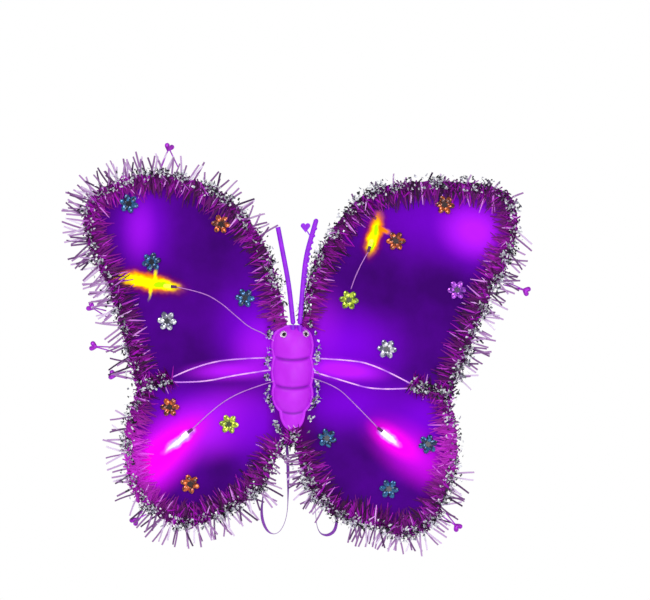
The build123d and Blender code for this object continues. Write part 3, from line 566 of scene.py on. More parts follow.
# ---- tinsel garland ----
# Cut film on a twisted cord, tacked along the front of every free edge: broad magenta-violet strands
# that lie inwards over the cloth, thin ones that stand out past it, and clumps of crinkled silver.
def garland_tree():
    sizes = {
        "Spacing": 1.5 * mm, "Reach": 18 * mm, "Reach Spread": 5 * mm, "Width": 1.0 * mm, "Heading": 0.0,
        "Heading Spread": 0.5, "Lift": 0.2, "Lift Spread": 0.2, "Scatter": 3 * mm, "Curl": 0.25,
        "Clump Size": 14 * mm, "Clump Cut": 0.0, "Taper": 0.7, "Roll": 0.9,
    }
    inputs = {"Edge": ("Geometry", None), "Seed": ("Int", None), "Film": ("Material", None)}
    inputs.update({label: ("Float", value) for label, value in sizes.items()})
    outputs = {"Garland": ("Geometry", None)}
    tree, given, leave = open_tree("tinsel garland", "GeometryNodeTree", inputs, outputs)

    def maths(operation, *values):
        node = add_node(tree, "ShaderNodeMath", dict(enumerate(values)), operation=operation)
        return node.outputs["Value"]

    def vector_maths(operation, *values):
        node = add_node(tree, "ShaderNodeVectorMath", dict(enumerate(values)), operation=operation)
        return node.outputs["Vector"]

    def scaled(vector, factor):
        node = add_node(tree, "ShaderNodeVectorMath", {0: vector, "Scale": factor}, operation="SCALE")
        return node.outputs["Vector"]

    def chance(offset, low=-1.0, high=1.0):
        seed = maths("ADD", given["Seed"], offset)
        node = add_node(tree, "FunctionNodeRandomValue", {2: low, 3: high, "Seed": seed}, data_type="FLOAT")
        return node.outputs[1]

    def spread(centre, width, offset):
        return maths("ADD", given[centre], maths("MULTIPLY", chance(offset), given[width]))

    def xyz(x=0.0, y=0.0, z=0.0):
        return add_node(tree, "ShaderNodeCombineXYZ", {"X": x, "Y": y, "Z": z}).outputs["Vector"]

    # Points at even steps along the edge, each moved a little at random.
    as_curve = add_node(tree, "GeometryNodeMeshToCurve", {"Mesh": given["Edge"]})
    points = add_node(tree, "GeometryNodeCurveToPoints", {
        "Curve": as_curve.outputs["Curve"], "Length": given["Spacing"]}, mode="LENGTH")
    keep = add_node(tree, "GeometryNodeStoreNamedAttribute", data_type="FLOAT_VECTOR", domain="POINT")
    set_inputs(tree, keep, {
        "Name": "run", "Geometry": points.outputs["Points"], "Value": points.outputs["Tangent"]})
    run = add_node(tree, "GeometryNodeInputNamedAttribute", {"Name": "run"}, data_type="FLOAT_VECTOR")
    tangent = run.outputs["Attribute"]
    outward = vector_maths("CROSS_PRODUCT", (0.0, 1.0, 0.0), tangent)
    aside = scaled(outward, maths("MULTIPLY", chance(3), given["Scatter"]))
    along = scaled(tangent, maths("MULTIPLY", chance(4), given["Spacing"]))
    moved = add_node(tree, "GeometryNodeSetPosition", {
        "Geometry": keep.outputs["Geometry"], "Offset": vector_maths("ADD", aside, along)})

    # Some of the points stay bare, so that the strands stand in clumps.
    where = add_node(tree, "GeometryNodeInputPosition")
    clump = add_node(tree, "ShaderNodeTexNoise", {
        "Detail": 1.0, "Vector": where.outputs["Position"],
        "Scale": maths("DIVIDE", 1.0, given["Clump Size"])})
    chosen = maths("GREATER_THAN", clump.outputs["Fac"], given["Clump Cut"])

    # One strand: a narrow strip, tapered and curled, that stands up from its root.
    strand = add_node(tree, "GeometryNodeMeshGrid", {
        "Size X": 1.0, "Size Y": 1.0, "Vertices X": 2, "Vertices Y": 5})
    grid_place = add_node(tree, "GeometryNodeInputPosition")
    split = add_node(tree, "ShaderNodeSeparateXYZ", {"Vector": grid_place.outputs["Position"]})
    share = maths("ADD", split.outputs["Y"], 0.5)
    squared = maths("MULTIPLY", share, share)
    taper = maths("SUBTRACT", 1.0, maths("MULTIPLY", squared, given["Taper"]))
    narrowed = maths("MULTIPLY", split.outputs["X"], taper)
    shaped = xyz(narrowed, maths("MULTIPLY", squared, given["Curl"]), share)
    bent = add_node(
        tree, "GeometryNodeSetPosition", {"Geometry": strand.outputs["Mesh"], "Position": shaped})

    # Aim it by its heading and lift, turn its face to the front and roll it at random.
    heading = spread("Heading", "Heading Spread", 1)
    lift = spread("Lift", "Lift Spread", 2)
    flat = vector_maths(
        "ADD", scaled(outward, maths("COSINE", heading)), scaled(tangent, maths("SINE", heading)))
    aim_way = vector_maths("ADD", scaled(flat, maths("COSINE", lift)),
                           scaled((0.0, -1.0, 0.0), maths("SINE", lift)))
    aimed = add_node(tree, "FunctionNodeAlignRotationToVector", {"Vector": aim_way}, axis="Z")
    facing = add_node(tree, "FunctionNodeAlignRotationToVector", {
        "Vector": (0.0, -1.0, 0.0), "Rotation": aimed.outputs["Rotation"]}, axis="Y", pivot_axis="Z")
    roll = xyz(z=maths("MULTIPLY", chance(5), given["Roll"]))
    turn = add_node(tree, "FunctionNodeEulerToRotation", {"Euler": roll})
    rolled = add_node(tree, "FunctionNodeRotateRotation", {
        "Rotation": facing.outputs["Rotation"], "Rotate By": turn.outputs["Rotation"],
    }, rotation_space="LOCAL")
    length = spread("Reach", "Reach Spread", 6)
    placed = add_node(tree, "GeometryNodeInstanceOnPoints", {
        "Points": moved.outputs["Geometry"], "Selection": chosen, "Instance": bent.outputs["Geometry"],
        "Rotation": rolled.outputs["Rotation"], "Scale": xyz(given["Width"], length, length)})
    tone = add_node(tree, "GeometryNodeStoreNamedAttribute", data_type="FLOAT", domain="INSTANCE")
    set_inputs(tree, tone, {
        "Name": "shade", "Geometry": placed.outputs["Instances"], "Value": chance(7, 0.0, 1.0)})
    real = add_node(tree, "GeometryNodeRealizeInstances", {"Geometry": tone.outputs["Geometry"]})
    film = add_node(tree, "GeometryNodeSetMaterial", {
        "Geometry": real.outputs["Geometry"], "Material": given["Film"]})
    set_inputs(tree, leave, {"Garland": film.outputs["Geometry"]})
    return tree


garland = garland_tree()


def line_object(name, line):
    mesh = bpy.data.meshes.new(name)
    mesh.from_pydata([tuple(place) for place in line], [(i, i + 1) for i in range(len(line) - 1)], [])
    thing = bpy.data.objects.new(name, mesh)
    scene.collection.objects.link(thing)
    return thing


def grown(name, holder, tree, material_socket, material, **values):
    """Run a tree on an object and keep the result as a plain mesh piece."""
    modifier = holder.modifiers.new(tree.name, "NODES")
    modifier.node_group = tree
    identifiers = {item.name: item.identifier for item in tree.interface.items_tree
                   if item.in_out == "INPUT"}
    for label, value in values.items():
        modifier[identifiers[label.replace("_", " ").title()]] = value
    modifier[identifiers[material_socket]] = material
    graph = bpy.context.evaluated_depsgraph_get()
    graph.update()
    mesh = bpy.data.meshes.new_from_object(holder.evaluated_get(graph))
    bpy.data.objects.remove(holder)
    mesh.name = name
    piece = bpy.data.objects.new(name, mesh)
    scene.collection.objects.link(piece)
    return piece


# Where the lower lamps and the bright cloth light the film: centre, size, turn, strength.
lit_film = (0.86, 0.03, 0.9, 1)
lit_places = [
    ((-172, -96), (74, 82), 30, 1.1), ((158, -86), (70, 62), -30, 0.9), ((215, 160), (60, 60), 0, 0.3),
    ((-190, 180), (60, 70), 0, 0.3), ((-30, 40), (50, 60), 0, 0.5), ((34, 40), (50, 60), 0, 0.5),
]


def film_material(name, metallic, roughness, specular, *ramp, lit=0.0):
    """Cut film whose tone differs at random from strand to strand; where lit, painted lamp light is laid on
    it and given out as a faint painted glow.
    """
    material, tree, shader = new_material(name)
    tone = add_node(tree, "ShaderNodeAttribute", attribute_name="shade")
    colour = colour_ramp(tree, tone.outputs["Fac"], *ramp)
    if lit:
        patches = [(centre, size, turn, lit_film, strength * lit)
                   for centre, size, turn, strength in lit_places]
        colour = lay_patches(tree, colour, sewn_place(tree), patches)
        set_inputs(tree, shader, {"Emission Color": colour, "Emission Strength": 0.06})
    set_inputs(tree, shader, {
        "Base Color": colour, "Metallic": metallic, "Roughness": roughness, "Specular IOR Level": specular})
    return material


# The violet film's palest tone is a painted pink highlight; the silver film's near-black to white tones are
# painted reflections and glints.
violet_film = film_material(
    "violet tinsel film", 0.0, 0.4, 0.15, (0.0, (0.012, 0.0, 0.014)), (0.35, (0.075, 0.0, 0.085)),
    (0.7, (0.19, 0.0, 0.22)), (0.94, (0.4, 0.0, 0.5)), (1.0, (0.85, 0.4, 0.95)), lit=0.62)
smoke_film = film_material(
    "thin lilac tinsel film", 0.0, 0.4, 0.2, (0.0, (0.06, 0.02, 0.08)), (0.25, (0.27, 0.11, 0.32)),
    (0.6, (0.46, 0.24, 0.53)), (0.85, (0.66, 0.46, 0.74)), (1.0, (0.9, 0.8, 0.95)))
silver_film = film_material(
    "crinkled silver film", 0.2, 0.2, 0.6, (0.0, (0.004, 0.004, 0.008)), (0.3, (0.03, 0.03, 0.045)),
    (0.42, (0.35, 0.34, 0.42)), (0.6, (0.85, 0.85, 0.92)), (1.0, (1.0, 1.0, 1.0)))

# How the garland lies on each side: layers that lie inwards, silver clumps, and a fringe that
# stands out past the edge only along some of it, as shares of the edge's length.
front_of_cloth = -18.3 * mm
front_of_strands = -20.4 * mm
inward = math.pi
# Along each run, from the top of the body round to the tail: start, end, strands, reach in mm.
fringe_runs = {
    "left": [(0.08, 0.3, 40, 20), (0.2, 0.46, 52, 23), (0.3, 0.52, 42, 25), (0.55, 0.68, 22, 22),
             (0.68, 0.86, 44, 25), (0.86, 0.93, 8, 14)],
    "right": [(0.12, 0.3, 16, 9), (0.33, 0.47, 30, 20), (0.36, 0.46, 16, 24), (0.57, 0.72, 28, 22),
              (0.72, 0.8, 22, 24), (0.84, 0.94, 26, 20)],
}
trim_nodes = {"left": ("left_trim", "centre_trim"), "right": ("right_trim",)}


def join_pieces(name, pieces):
    """Put several plain meshes into one object with their materials and attributes."""
    with bpy.context.temp_override(active_object=pieces[0], selected_editable_objects=pieces):
        bpy.ops.object.join()
    pieces[0].name = name
    pieces[0].data.name = name
    return pieces[0]


# A thin line of silver down each side of the body, as (x, z) out from its middle.
flank_run = [(20, 64), (28, 40), (29, 5), (28, -25), (21, -48), (16, -66)]


def beside_body(place):
    return -66 * mm < place.z < 62 * mm and abs(place.x) < 26 * mm


def under_body(place):
    return -80 * mm < place.z < 50 * mm and abs(place.x) < 14 * mm


def strands(run, film, **values):
    return grown("layer", line_object("edge", run), garland, "Film", film, **values)


def run_towards_outside(side, line):
    """The tree's outward side is to one hand of the run, so the right wing's runs are turned round."""
    return line if side == "left" else list(reversed(line))


# How each kind of strand lies; every layer adds its own spacing and seed.
combed = dict(reach=22 * mm, reach_spread=9 * mm, width=2.3 * mm, heading=inward, heading_spread=0.42,
              lift=0.09, lift_spread=0.05, scatter=3 * mm, curl=-0.04, taper=0.75, roll=0.35)
ruffled = dict(reach=12 * mm, width=1.8 * mm, lift=0.12, lift_spread=0.1, curl=0.08)
crumple = dict(width=2.3 * mm, heading=0.0, heading_spread=3.1, lift=0.35, lift_spread=0.4, curl=0.5,
               taper=0.3, roll=1.3)
stray = dict(reach_spread=5 * mm, width=2.3 * mm, heading=0.0, heading_spread=0.5, lift=0.04,
             lift_spread=0.08, scatter=2 * mm, curl=0.2, taper=0.1, roll=0.6)


def straight_run(points, depth, sign=1):
    return [Vector((sign * x * mm, depth, z * mm)) for x, z in points]


for side, (upper, lower) in wing_edges.items():
    outward = -1 if side == "left" else 1
    edge = flat_line(upper, front_of_cloth) + flat_line(lower, front_of_cloth)
    raised = flat_line(upper, front_of_strands) + flat_line(lower, front_of_strands)
    whole = run_towards_outside(side, [place for place in edge if not under_body(place)])
    below_tail = straight_run([(3, -63), (3, -81)], front_of_cloth, outward)
    notch = [upper[-1], vein_lines[side][0][1]]
    notch_run = straight_run(notch, front_of_cloth)
    layers = [
        strands(whole, violet_film, spacing=0.9 * mm, seed=11, **combed),
        strands(whole, violet_film, spacing=1.3 * mm, reach_spread=5 * mm, heading=inward,
                heading_spread=1.0, scatter=6 * mm, seed=21, **ruffled),
    ]
    for way in (0.0, inward):
        layers.append(strands(notch_run, violet_film, spacing=0.9 * mm, reach_spread=4 * mm, heading=way,
                              heading_spread=0.7, scatter=3 * mm, seed=31, **ruffled))
    layers.append(strands(below_tail, violet_film, spacing=0.5 * mm, reach=8 * mm, reach_spread=3 * mm,
                          width=2.0 * mm, heading=0.0, heading_spread=3.1, lift=0.1, lift_spread=0.1,
                          scatter=3 * mm, curl=0.1, seed=51))
    tinsel = join_pieces(side + "_violet_tinsel", layers)
    keep_sewn_places(tinsel)
    bend_with_wing(tinsel)
    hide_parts(*trim_nodes[side])

    silver_run = run_towards_outside(side, [place for place in raised if not beside_body(place)])
    flank = straight_run(flank_run, front_of_strands, outward)
    raised_notch = straight_run(notch, front_of_strands)
    # Each run of silver, in mm: spacing, reach and its spread, scatter, clump size;
    # then the clump cut and the seed.
    clumps = []
    for run, spacing, reach, reach_spread, scatter, clump_size, clump_cut, seed in (
            (silver_run, 0.3, 3.3, 1.1, 7, 15, 0.52, 41), (silver_run, 2.0, 2.8, 1.0, 10, 10, 0.3, 42),
            (flank, 0.45, 3.0, 1.0, 2.5, 9, 0.5, 45), (raised_notch, 0.2, 2.6, 1.0, 7, 11, 0.47, 47)):
        clumps.append(strands(run, silver_film, spacing=spacing * mm, reach=reach * mm,
                              reach_spread=reach_spread * mm, scatter=scatter * mm,
                              clump_size=clump_size * mm, clump_cut=clump_cut, seed=seed, **crumple))
    silver = join_pieces(side + "_silver_tinsel", clumps)
    bend_with_wing(silver)

    fringe = []
    for number, (start, stop, count, reach) in enumerate(fringe_runs[side]):
        run = run_towards_outside(side, edge[int(start * len(edge)):int(stop * len(edge))])
        run_length = sum((b - a).length for a, b in zip(run, run[1:]))
        fringe.append(strands(run, smoke_film, spacing=run_length / count, reach=reach * mm,
                              seed=61 + number, **stray))
    outer_fringe = join_pieces(side + "_outer_fringe", fringe)
    bend_with_wing(outer_fringe)


# ---- foil hearts ----
# Small embossed foil hearts, each at the fold of a strand that stands out from the garland.
heart_places = {
    "left": [((-142, 261), (-151, 238), (-131, 238)), ((-231, 78), (-212, 66), (-214, 74)),
             ((-228, 33), (-203, 26), (-202, 32)), ((-206, 0), (-190, -4), (-189, 4)),
             ((-181, -167), (-172, -156), (-168, -160))],
    "right": [((268, 97), (244, 108), (242, 104)), ((189, -174), (176, -158), (172, -162))],
}
foil = mottled_finish("violet heart foil", (0.28, 0.0, 0.4), (0.5, 0.02, 0.75), 240.0, 0.35, detail=2.0,
                      metallic=0.3)
heart_depth = -20.6 * mm
heart_size = 11.5 * mm


def heart_mesh(centre, size, tilt):
    """A puffed heart: rings of a heart outline that shrink towards a crowned middle, both sides."""
    steps, rings = 28, 4
    vertices, faces = [], []
    turn = Matrix.Rotation(tilt, 3, "Y")
    for front in (1, -1):
        base = len(vertices)
        for ring in range(rings):
            share = 1 - ring / rings
            height = size * 0.2 * math.sqrt(1 - share * share)
            for step in range(steps):
                angle = 2 * math.pi * step / steps
                x = 16 * math.sin(angle) ** 3 / 32
                z = (13 * math.cos(angle) - 5 * math.cos(2 * angle) - 2 * math.cos(3 * angle)
                     - math.cos(4 * angle) + 2) / 32
                offset = Vector((x * share * size, -front * height, z * share * size))
                vertices.append(centre + turn @ offset)
        vertices.append(centre + Vector((0, -front * size * 0.2, 0)))
        middle = len(vertices) - 1
        for ring in range(rings - 1):
            for step in range(steps):
                nxt = (step + 1) % steps
                quad = (base + ring * steps + step, base + ring * steps + nxt,
                        base + (ring + 1) * steps + nxt, base + (ring + 1) * steps + step)
                faces.append(quad if front < 0 else tuple(reversed(quad)))
        for step in range(steps):
            nxt = (step + 1) % steps
            tip = (base + (rings - 1) * steps + step, base + (rings - 1) * steps + nxt, middle)
            faces.append(tip if front < 0 else tuple(reversed(tip)))
    return vertices, faces


for side, places in heart_places.items():
    parts = []
    for tip, first_root, second_root in places:
        middle = Vector((tip[0] * mm, heart_depth, tip[1] * mm))
        away = Vector((tip[0] - first_root[0], 0, tip[1] - first_root[1]))
        tilt = math.atan2(away.x, away.z)
        parts.append(heart_mesh(middle, heart_size, tilt))
        for root in (first_root, second_root):
            start = Vector((root[0] * mm, heart_depth + 1.5 * mm, root[1] * mm))
            bow = (start + middle) / 2 + Vector((0, -0.8 * mm, 0))
            stalk = smooth_line([start, bow, middle], 8)
            parts.append(strip_along(stalk, 0.75 * mm, 0.25 * mm, sides=6))
    hearts = mesh_object(side + "_foil_hearts", *gathered(parts), foil)
    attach(hearts, side + "_wing")
    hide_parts(side + "_hearts")


# ---- flower gems ----
# Six-petal acrylic flowers, foiled behind, cut in flat facets round a dark sunken middle,
# and glued on the cloth.
def gem_tree():
    tree, given, leave = open_tree("flower gem", "GeometryNodeTree", {
        "Places": ("Geometry", None), "Radius": ("Float", 11.5 * mm), "Thickness": ("Float", 3.2 * mm),
        "Petals": ("Int", 6), "Seed": ("Int", None),
        "Acrylic": ("Material", None), "Backing": ("Material", None),
    }, {"Gems": ("Geometry", None)})

    def times(value, factor):
        return add_node(tree, "ShaderNodeMath", {0: value, 1: factor}, operation="MULTIPLY").outputs["Value"]

    def xyz(x=0.0, y=0.0, z=0.0):
        return add_node(tree, "ShaderNodeCombineXYZ", {"X": x, "Y": y, "Z": z}).outputs["Vector"]

    # One petal, six of them round the middle, and the dark cup between them.
    radius, thickness = given["Radius"], given["Thickness"]
    petal = add_node(tree, "GeometryNodeMeshIcoSphere", {"Radius": 1.0, "Subdivisions": 2})
    shaped = add_node(tree, "GeometryNodeTransform", {
        "Geometry": petal.outputs["Mesh"], "Translation": xyz(times(radius, 0.6)),
        "Scale": xyz(times(radius, 0.4), times(radius, 0.31), times(thickness, 0.6))})
    spokes = add_node(tree, "GeometryNodeMeshCircle", {"Vertices": given["Petals"], "Radius": 0.00001})
    order = add_node(tree, "GeometryNodeInputIndex")
    part = add_node(
        tree, "ShaderNodeMath", {0: order.outputs["Index"], 1: given["Petals"]}, operation="DIVIDE")
    ring = add_node(tree, "GeometryNodeInstanceOnPoints", {
        "Points": spokes.outputs["Mesh"], "Instance": shaped.outputs["Geometry"],
        "Rotation": xyz(z=times(part.outputs["Value"], 2 * math.pi))})
    cup = add_node(tree, "GeometryNodeMeshCylinder", {
        "Vertices": 18, "Radius": times(radius, 0.4), "Depth": times(thickness, 0.42)})

    def set_on_places(part_geometry, material_label):
        spin = add_node(tree, "FunctionNodeRandomValue", {3: 6.28, "Seed": given["Seed"]})
        flowers = add_node(tree, "GeometryNodeInstanceOnPoints", {
            "Points": given["Places"], "Instance": part_geometry,
            "Rotation": xyz(x=math.pi / 2, y=spin.outputs[1])})
        real = add_node(tree, "GeometryNodeRealizeInstances", {"Geometry": flowers.outputs["Instances"]})
        finish = add_node(tree, "GeometryNodeSetMaterial", {
            "Geometry": real.outputs["Geometry"], "Material": given[material_label]})
        return finish.outputs["Geometry"]

    both = add_node(tree, "GeometryNodeJoinGeometry")
    set_inputs(tree, both, {"Geometry": set_on_places(cup.outputs["Mesh"], "Backing")})
    set_inputs(tree, both, {"Geometry": set_on_places(ring.outputs["Instances"], "Acrylic")})
    set_inputs(tree, leave, {"Gems": both.outputs["Geometry"]})
    return tree


flower_gem = gem_tree()
gem_places = {
    "left": {"blue": [(-188, 197), (-162, 130), (-54.6, 88.6)],
             "amber": [(-82.2, 173.6), (-140.9, -36.8), (-117.9, -125.4)],
             "green": [(-73, -56.4)], "clear": [(-144.3, 62.1)]},
    "right": {"blue": [(39.7, -72.5), (155.8, -79.4), (111, -131)], "amber": [(175.4, 195.5), (119, 154)],
              "green": [(65, 86.3)], "clear": [(108.7, 29.9)], "violet": [(189.2, 97.8)]},
}
# Each acrylic colour: its deep tone and a painted highlight tone.
acrylic_tones = {
    "blue": ((0.0, 0.008, 0.05), (0.01, 0.16, 0.4)), "amber": ((0.07, 0.003, 0.0), (0.75, 0.13, 0.005)),
    "green": ((0.12, 0.18, 0.0), (0.75, 0.95, 0.04)), "clear": ((0.12, 0.12, 0.2), (0.95, 0.95, 1.0)),
    "violet": ((0.12, 0.0, 0.3), (0.6, 0.08, 0.95)),
}
gem_middle = -19.4 * mm


def acrylic_material(colour_name, deep, bright):
    material, tree, shader = new_material(colour_name + " acrylic")
    place = add_node(tree, "ShaderNodeTexCoord").outputs["Object"]
    # Each facet takes a tone between the deep colour and the highlight tone: painted reflections on the cut
    # facets.
    facets = add_node(tree, "ShaderNodeTexVoronoi", {"Vector": place, "Scale": 330.0})
    set_inputs(tree, shader, {
        "Base Color": colour_ramp(tree, facets.outputs["Color"], (0.25, deep), (0.8, bright)),
        "Metallic": 0.55, "Roughness": 0.12, "Coat Weight": 1.0, "Coat Roughness": 0.05})
    return material


for colour_name, (deep, bright) in acrylic_tones.items():
    acrylic = acrylic_material(colour_name, deep, bright)
    backing = mottled_finish(colour_name + " dark backing", (0.002, 0.002, 0.004),
                             [tone / 2 for tone in deep], 400.0, 0.25, ramp=(0.0, 1.0), detail=2.0)
    for side in ("left", "right"):
        if colour_name not in gem_places[side]:
            continue
        mesh = bpy.data.meshes.new("places")
        mesh.from_pydata([(x * mm, gem_middle, z * mm) for x, z in gem_places[side][colour_name]], [], [])
        holder = bpy.data.objects.new("places", mesh)
        scene.collection.objects.link(holder)
        gems = grown(side + "_" + colour_name + "_flowers", holder, flower_gem, "Acrylic", acrylic,
                     backing=backing, seed=len(colour_name))
        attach(gems, side + "_wing")
        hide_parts(side + "_" + colour_name + "_gems")


# ---- leads, sleeves and lamps ----
# Thin twin leads lie on the cloth from the circuit board to each lamp. The lamps are 5 mm ones;
# the upper pair shines yellow-green, the lower pair cold white.
lead_routes = {
    "left": [[(-133, 101.2), (-104, 95.5), (-83.4, 84), (-66.1, 69), (-48.9, 54), (-30, 47), (-4, 26)],
             [(-115, -62), (-94.9, -42.6), (-71.9, -25.3), (-41, -12.6), (-5, -2)]],
    "right": [[(87, 141.5), (74.2, 120.8), (67.5, 99.6)],
              [(98, -60.5), (74.2, -35.6), (45.4, -8), (5, 1)]],
}
back_route = [(67.5, 99.6), (52, 70), (34, 41), (4, 27.5)]
lead_skin = mottled_finish("pale violet lead insulation", (0.4, 0.08, 0.55), (0.75, 0.3, 0.85), 130.0, 0.4,
                           ramp=(0.0, 1.0), detail=2.0)
lead_nodes = {"left": ("left_leads", "centre_leads"), "right": ("right_leads",)}
lead_front = -18.3 * mm
lead_behind = -16.3 * mm
lead_radius = 0.6 * mm
for side, routes in lead_routes.items():
    lines = [flat_line(route, lead_front) for route in routes]
    if side == "right":
        eyelet_x, eyelet_z = back_route[0]
        lines.append([Vector((eyelet_x * mm, depth, eyelet_z * mm)) for depth in (lead_front, lead_behind)])
        lines.append(flat_line(back_route, lead_behind))
    leads = bars_along(side + "_lamp_leads", lines, lead_radius, lead_radius, lead_skin, sides=8)
    bend_with_wing(leads)
    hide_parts(*lead_nodes[side])


def dress(node, material):
    """Give a CAD node its own finish."""
    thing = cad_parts[node]
    thing.data.materials.clear()
    thing.data.materials.append(material)


yellow_lamp = mottled_finish("lit yellow lamp", (0.9, 1.0, 0.05), (0.5, 1.0, 0.02), 150.0, 0.15,
                             ramp=(0.0, 1.0), detail=2.0, glow=0.9)
white_lamp = mottled_finish("lit white lamp", (0.75, 0.7, 1.0), (1.0, 0.95, 1.0), 150.0, 0.15,
                            ramp=(0.0, 1.0), detail=2.0, glow=0.9)
shrink = mottled_finish("plum heat-shrink", (0.05, 0.0, 0.06), (0.14, 0.01, 0.17), 120.0, 0.5)
for side in ("left", "right"):
    dress(side + "_upper_led", yellow_lamp)
    dress(side + "_lower_led", white_lamp)
    dress(side + "_lamp_sleeves", shrink)


# ---- segmented body ----
# One hollow satin moulding in four puffed segments with curved seams between them, and a thin
# flange that lies on the cloth. The eyes, screws and antennae keep their places in it.
moulding = mottled_finish("satin magenta-violet moulding", (0.5, 0.012, 0.78), (0.56, 0.02, 0.86),
                          40.0, 0.42, grain_height=0.00008)
tree = moulding.node_tree
shader = tree.nodes["Principled BSDF"]
# The seams and the line along the flange are darkened with painted shade, and the moulding gives out its
# colour as a faint painted glow.
painted_shade_mask = add_node(tree, "ShaderNodeAttribute", attribute_name="seam").outputs["Fac"]
skin_tone = shader.inputs["Base Color"].links[0].from_socket
tone_with_painted_shade = lay_colour(tree, skin_tone, painted_shade_mask, (0.17, 0.0, 0.36, 1), 0.85)
set_inputs(tree, shader, {
    "Base Color": tone_with_painted_shade, "Emission Color": tone_with_painted_shade, "Emission Strength": 0.12,
    "Specular IOR Level": 0.3})
# The body's half width at each height, and the turned shape that its skin follows, in mm.
half_widths = [
    (-62.7, 0.3), (-52, 11.4), (-41.4, 13.4), (-25, 22.2), (-11.5, 20.6), (4.6, 23), (20.7, 20.6),
    (33, 22.8), (43, 21.4), (51, 16.6), (56, 0.3),
]
axis_drop = 16.04
axis_depth = 1.66
rim_depth = 18.3
flange_depth = 18.2
seam_width = 1.5
# Each seam's height at the sides, how far its middle hangs below, and how deep it is.
seams = [(20.7, 3.2, 2.6), (-11.5, 3.4, 2.6), (-41.4, 2.6, 0.5)]


def arc_radius_at(height):
    """The skin's distance from the turning axis, on arcs through each three neighbouring points."""
    ring = [(z, math.hypot(width, axis_drop)) for z, width in half_widths]
    for start in range(0, len(ring) - 1, 2):
        (za, ra), (zb, rb), (zc, rc) = ring[start:start + 3]
        if height <= zc + 0.001:
            break
    twice_area = 2 * (za * (rb - rc) + zb * (rc - ra) + zc * (ra - rb))
    a, b, c = za * za + ra * ra, zb * zb + rb * rb, zc * zc + rc * rc
    middle_z = (a * (rb - rc) + b * (rc - ra) + c * (ra - rb)) / twice_area
    middle_r = (a * (zc - zb) + b * (za - zc) + c * (zb - za)) / twice_area
    bulge = math.hypot(za - middle_z, ra - middle_r)
    side_of_arc = 1 if rb > middle_r else -1
    return middle_r + side_of_arc * math.sqrt(max(bulge**2 - (height - middle_z) ** 2, 0))


rows, columns = 150, 48
tail, crown = half_widths[0][0], half_widths[-1][0]
vertices, painted_crease_shade, outlines = [], [], {-1: [], 1: []}
for row in range(rows + 1):
    height = tail + (crown - tail) * (0.5 - 0.5 * math.cos(math.pi * row / rows))
    radius = max(arc_radius_at(height), axis_drop + 0.002)
    reach = math.acos(axis_drop / radius)
    for column in range(columns + 1):
        across = 2 * column / columns - 1
        groove, sunk = 0.0, 0.0
        for seam_height, sag, seam_depth in seams:
            seam_here = seam_height - sag * (1 - across * across)
            near_seam = math.exp(-((height - seam_here) / seam_width) ** 2) * (1 - 0.7 * across**6)
            groove += near_seam
            sunk += seam_depth * near_seam
        here = radius - sunk
        # Painted shade in the seams and along the flange line.
        flange_line_shade = math.exp(-((1 - abs(across)) / 0.05) ** 2)
        painted_crease_shade.append(min(groove + flange_line_shade, 1.0))
        angle = reach * across
        depth = max(axis_depth + here * math.cos(angle), rim_depth)
        vertices.append(Vector((here * math.sin(angle), -depth, height)) * mm)
    edge_x = radius * math.sin(reach)
    if row % 3 == 0:
        for sign, outline in outlines.items():
            outline.append(Vector((sign * edge_x, -flange_depth, height)) * mm)
faces = []
for row in range(rows):
    for column in range(columns):
        low_left = row * (columns + 1) + column
        faces.append((low_left, low_left + 1, low_left + columns + 2, low_left + columns + 1))
skin = mesh_object("segmented_body", vertices, faces, moulding)
seam_layer = skin.data.attributes.new("seam", "FLOAT", "POINT")
seam_layer.data.foreach_set("value", painted_crease_shade)
wall = skin.modifiers.new("wall", "SOLIDIFY")
wall.thickness = 1.2 * mm
wall.offset = -1.0
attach(skin, "centre")
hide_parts("front_shell")
flange = bars_along("body_flange", outlines.values(), 1.9 * mm, 0.6 * mm, moulding, sides=8)
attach(flange, "centre")


# ---- googly eyes ----
# A pink-white card disc, a loose black pupil and a clear cap over both.
eye_card = mottled_finish("pink-white eye card", (0.86, 0.6, 0.86), (0.95, 0.8, 0.95), 200.0, 0.35)
pupil_black = mottled_finish("polished black pupil", (0.001, 0.001, 0.002), (0.01, 0.008, 0.015), 150.0, 0.1)
clear_cap, tree, shader = new_material("clear eye cap")
set_inputs(tree, shader, {
    "Base Color": (1, 1, 1, 1), "Transmission Weight": 1.0, "Roughness": 0.02, "IOR": 1.1})
for side in ("left", "right"):
    dress(side + "_eye_back", eye_card)
    dress(side + "_pupil", pupil_black)
    dress(side + "_eye_dome", clear_cap)


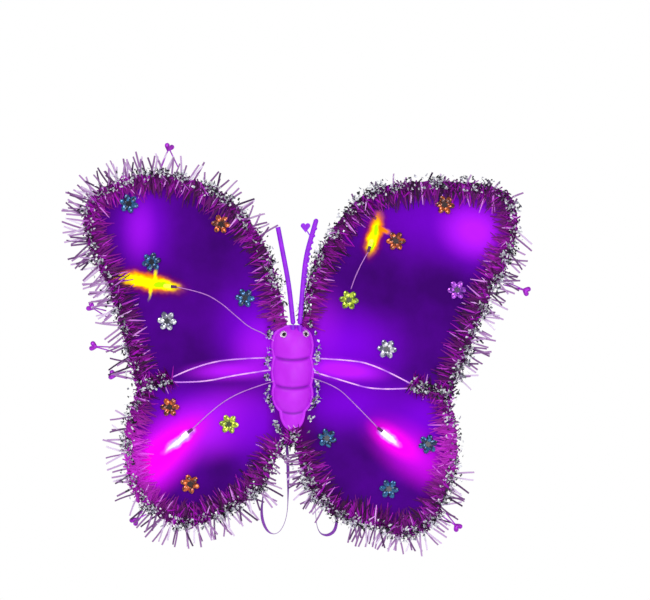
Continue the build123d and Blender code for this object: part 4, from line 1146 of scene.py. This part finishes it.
# ---- antennae ----
# Soft folded violet strips that stand up from inside the head; the right one has a beaded edge,
# a rounded tip and a small foil heart.
antenna_skin = mottled_finish("soft violet antenna", (0.27, 0.0, 0.72), (0.4, 0.0, 0.92), 90.0, 0.45,
                            grain_height=0.0002)
for node in ("left_antenna", "right_antenna", "antenna_roots", "antenna_heart"):
    dress(node, antenna_skin)
right_antenna_line = smooth_line([Vector(place) * mm for place in [
    (8.6, -21.5, 60.8), (12, -21.5, 104), (15.5, -21.5, 137), (27, -21.5, 177)]])
bead_mesh = bpy.data.meshes.new("antenna beads")
bead_frame = bmesh.new()
bead_count = 13
bead_radius = 1.9 * mm
for number in range(bead_count):
    share = 0.3 + 0.66 * number / (bead_count - 1)
    place = right_antenna_line[int(share * (len(right_antenna_line) - 1))]
    spot = Matrix.Translation(place + Vector((2.2, -0.5, 0)) * mm)
    bmesh.ops.create_icosphere(bead_frame, subdivisions=2, radius=bead_radius, matrix=spot)
bead_frame.to_mesh(bead_mesh)
bead_frame.free()
bead_mesh.materials.append(antenna_skin)
bead_mesh.shade_smooth()
beads = bpy.data.objects.new("right_antenna_beads", bead_mesh)
scene.collection.objects.link(beads)
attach(beads, "right_antenna")


# ---- rear case ----
# Violet moulded battery box with a flush door, held to the shell by two screws.
case_plastic = mottled_finish("spark-textured violet case", (0.13, 0.01, 0.26), (0.18, 0.02, 0.34),
                              60.0, 0.55, grain_height=0.0002)
plated = mottled_finish("zinc plated screw", (0.5, 0.5, 0.52), (0.72, 0.72, 0.74), 300.0, 0.3, metallic=1.0)
nickel = mottled_finish("nickel plated spring steel", (0.6, 0.58, 0.54), (0.78, 0.76, 0.7), 260.0, 0.22,
                        metallic=1.0)
cell_skin = mottled_finish("dark printed cell", (0.03, 0.04, 0.06), (0.07, 0.08, 0.12), 30.0, 0.3, coat=0.5)
board_green = mottled_finish("green solder mask", (0.01, 0.12, 0.04), (0.02, 0.2, 0.07), 180.0, 0.35,
                             coat=0.3)
resin = mottled_finish("black blob resin", (0.005, 0.005, 0.006), (0.02, 0.02, 0.022), 200.0, 0.45)
switch_plastic = mottled_finish("black switch plastic", (0.008, 0.008, 0.01), (0.02, 0.02, 0.022),
                                250.0, 0.4)
case_finishes = {
    "rear_case": case_plastic, "battery_door": case_plastic, "door_screw": plated, "case_screws": plated,
    "battery_left": cell_skin, "battery_right": cell_skin, "battery_springs": nickel,
    "battery_contacts": nickel, "circuit_board": board_green, "flasher_chip": resin,
    "supply_wires": lead_skin, "switch_housing": switch_plastic, "switch_slider": switch_plastic,
    "arm_loop_knots": elastic,
}
for node, finish in case_finishes.items():
    dress(node, finish)
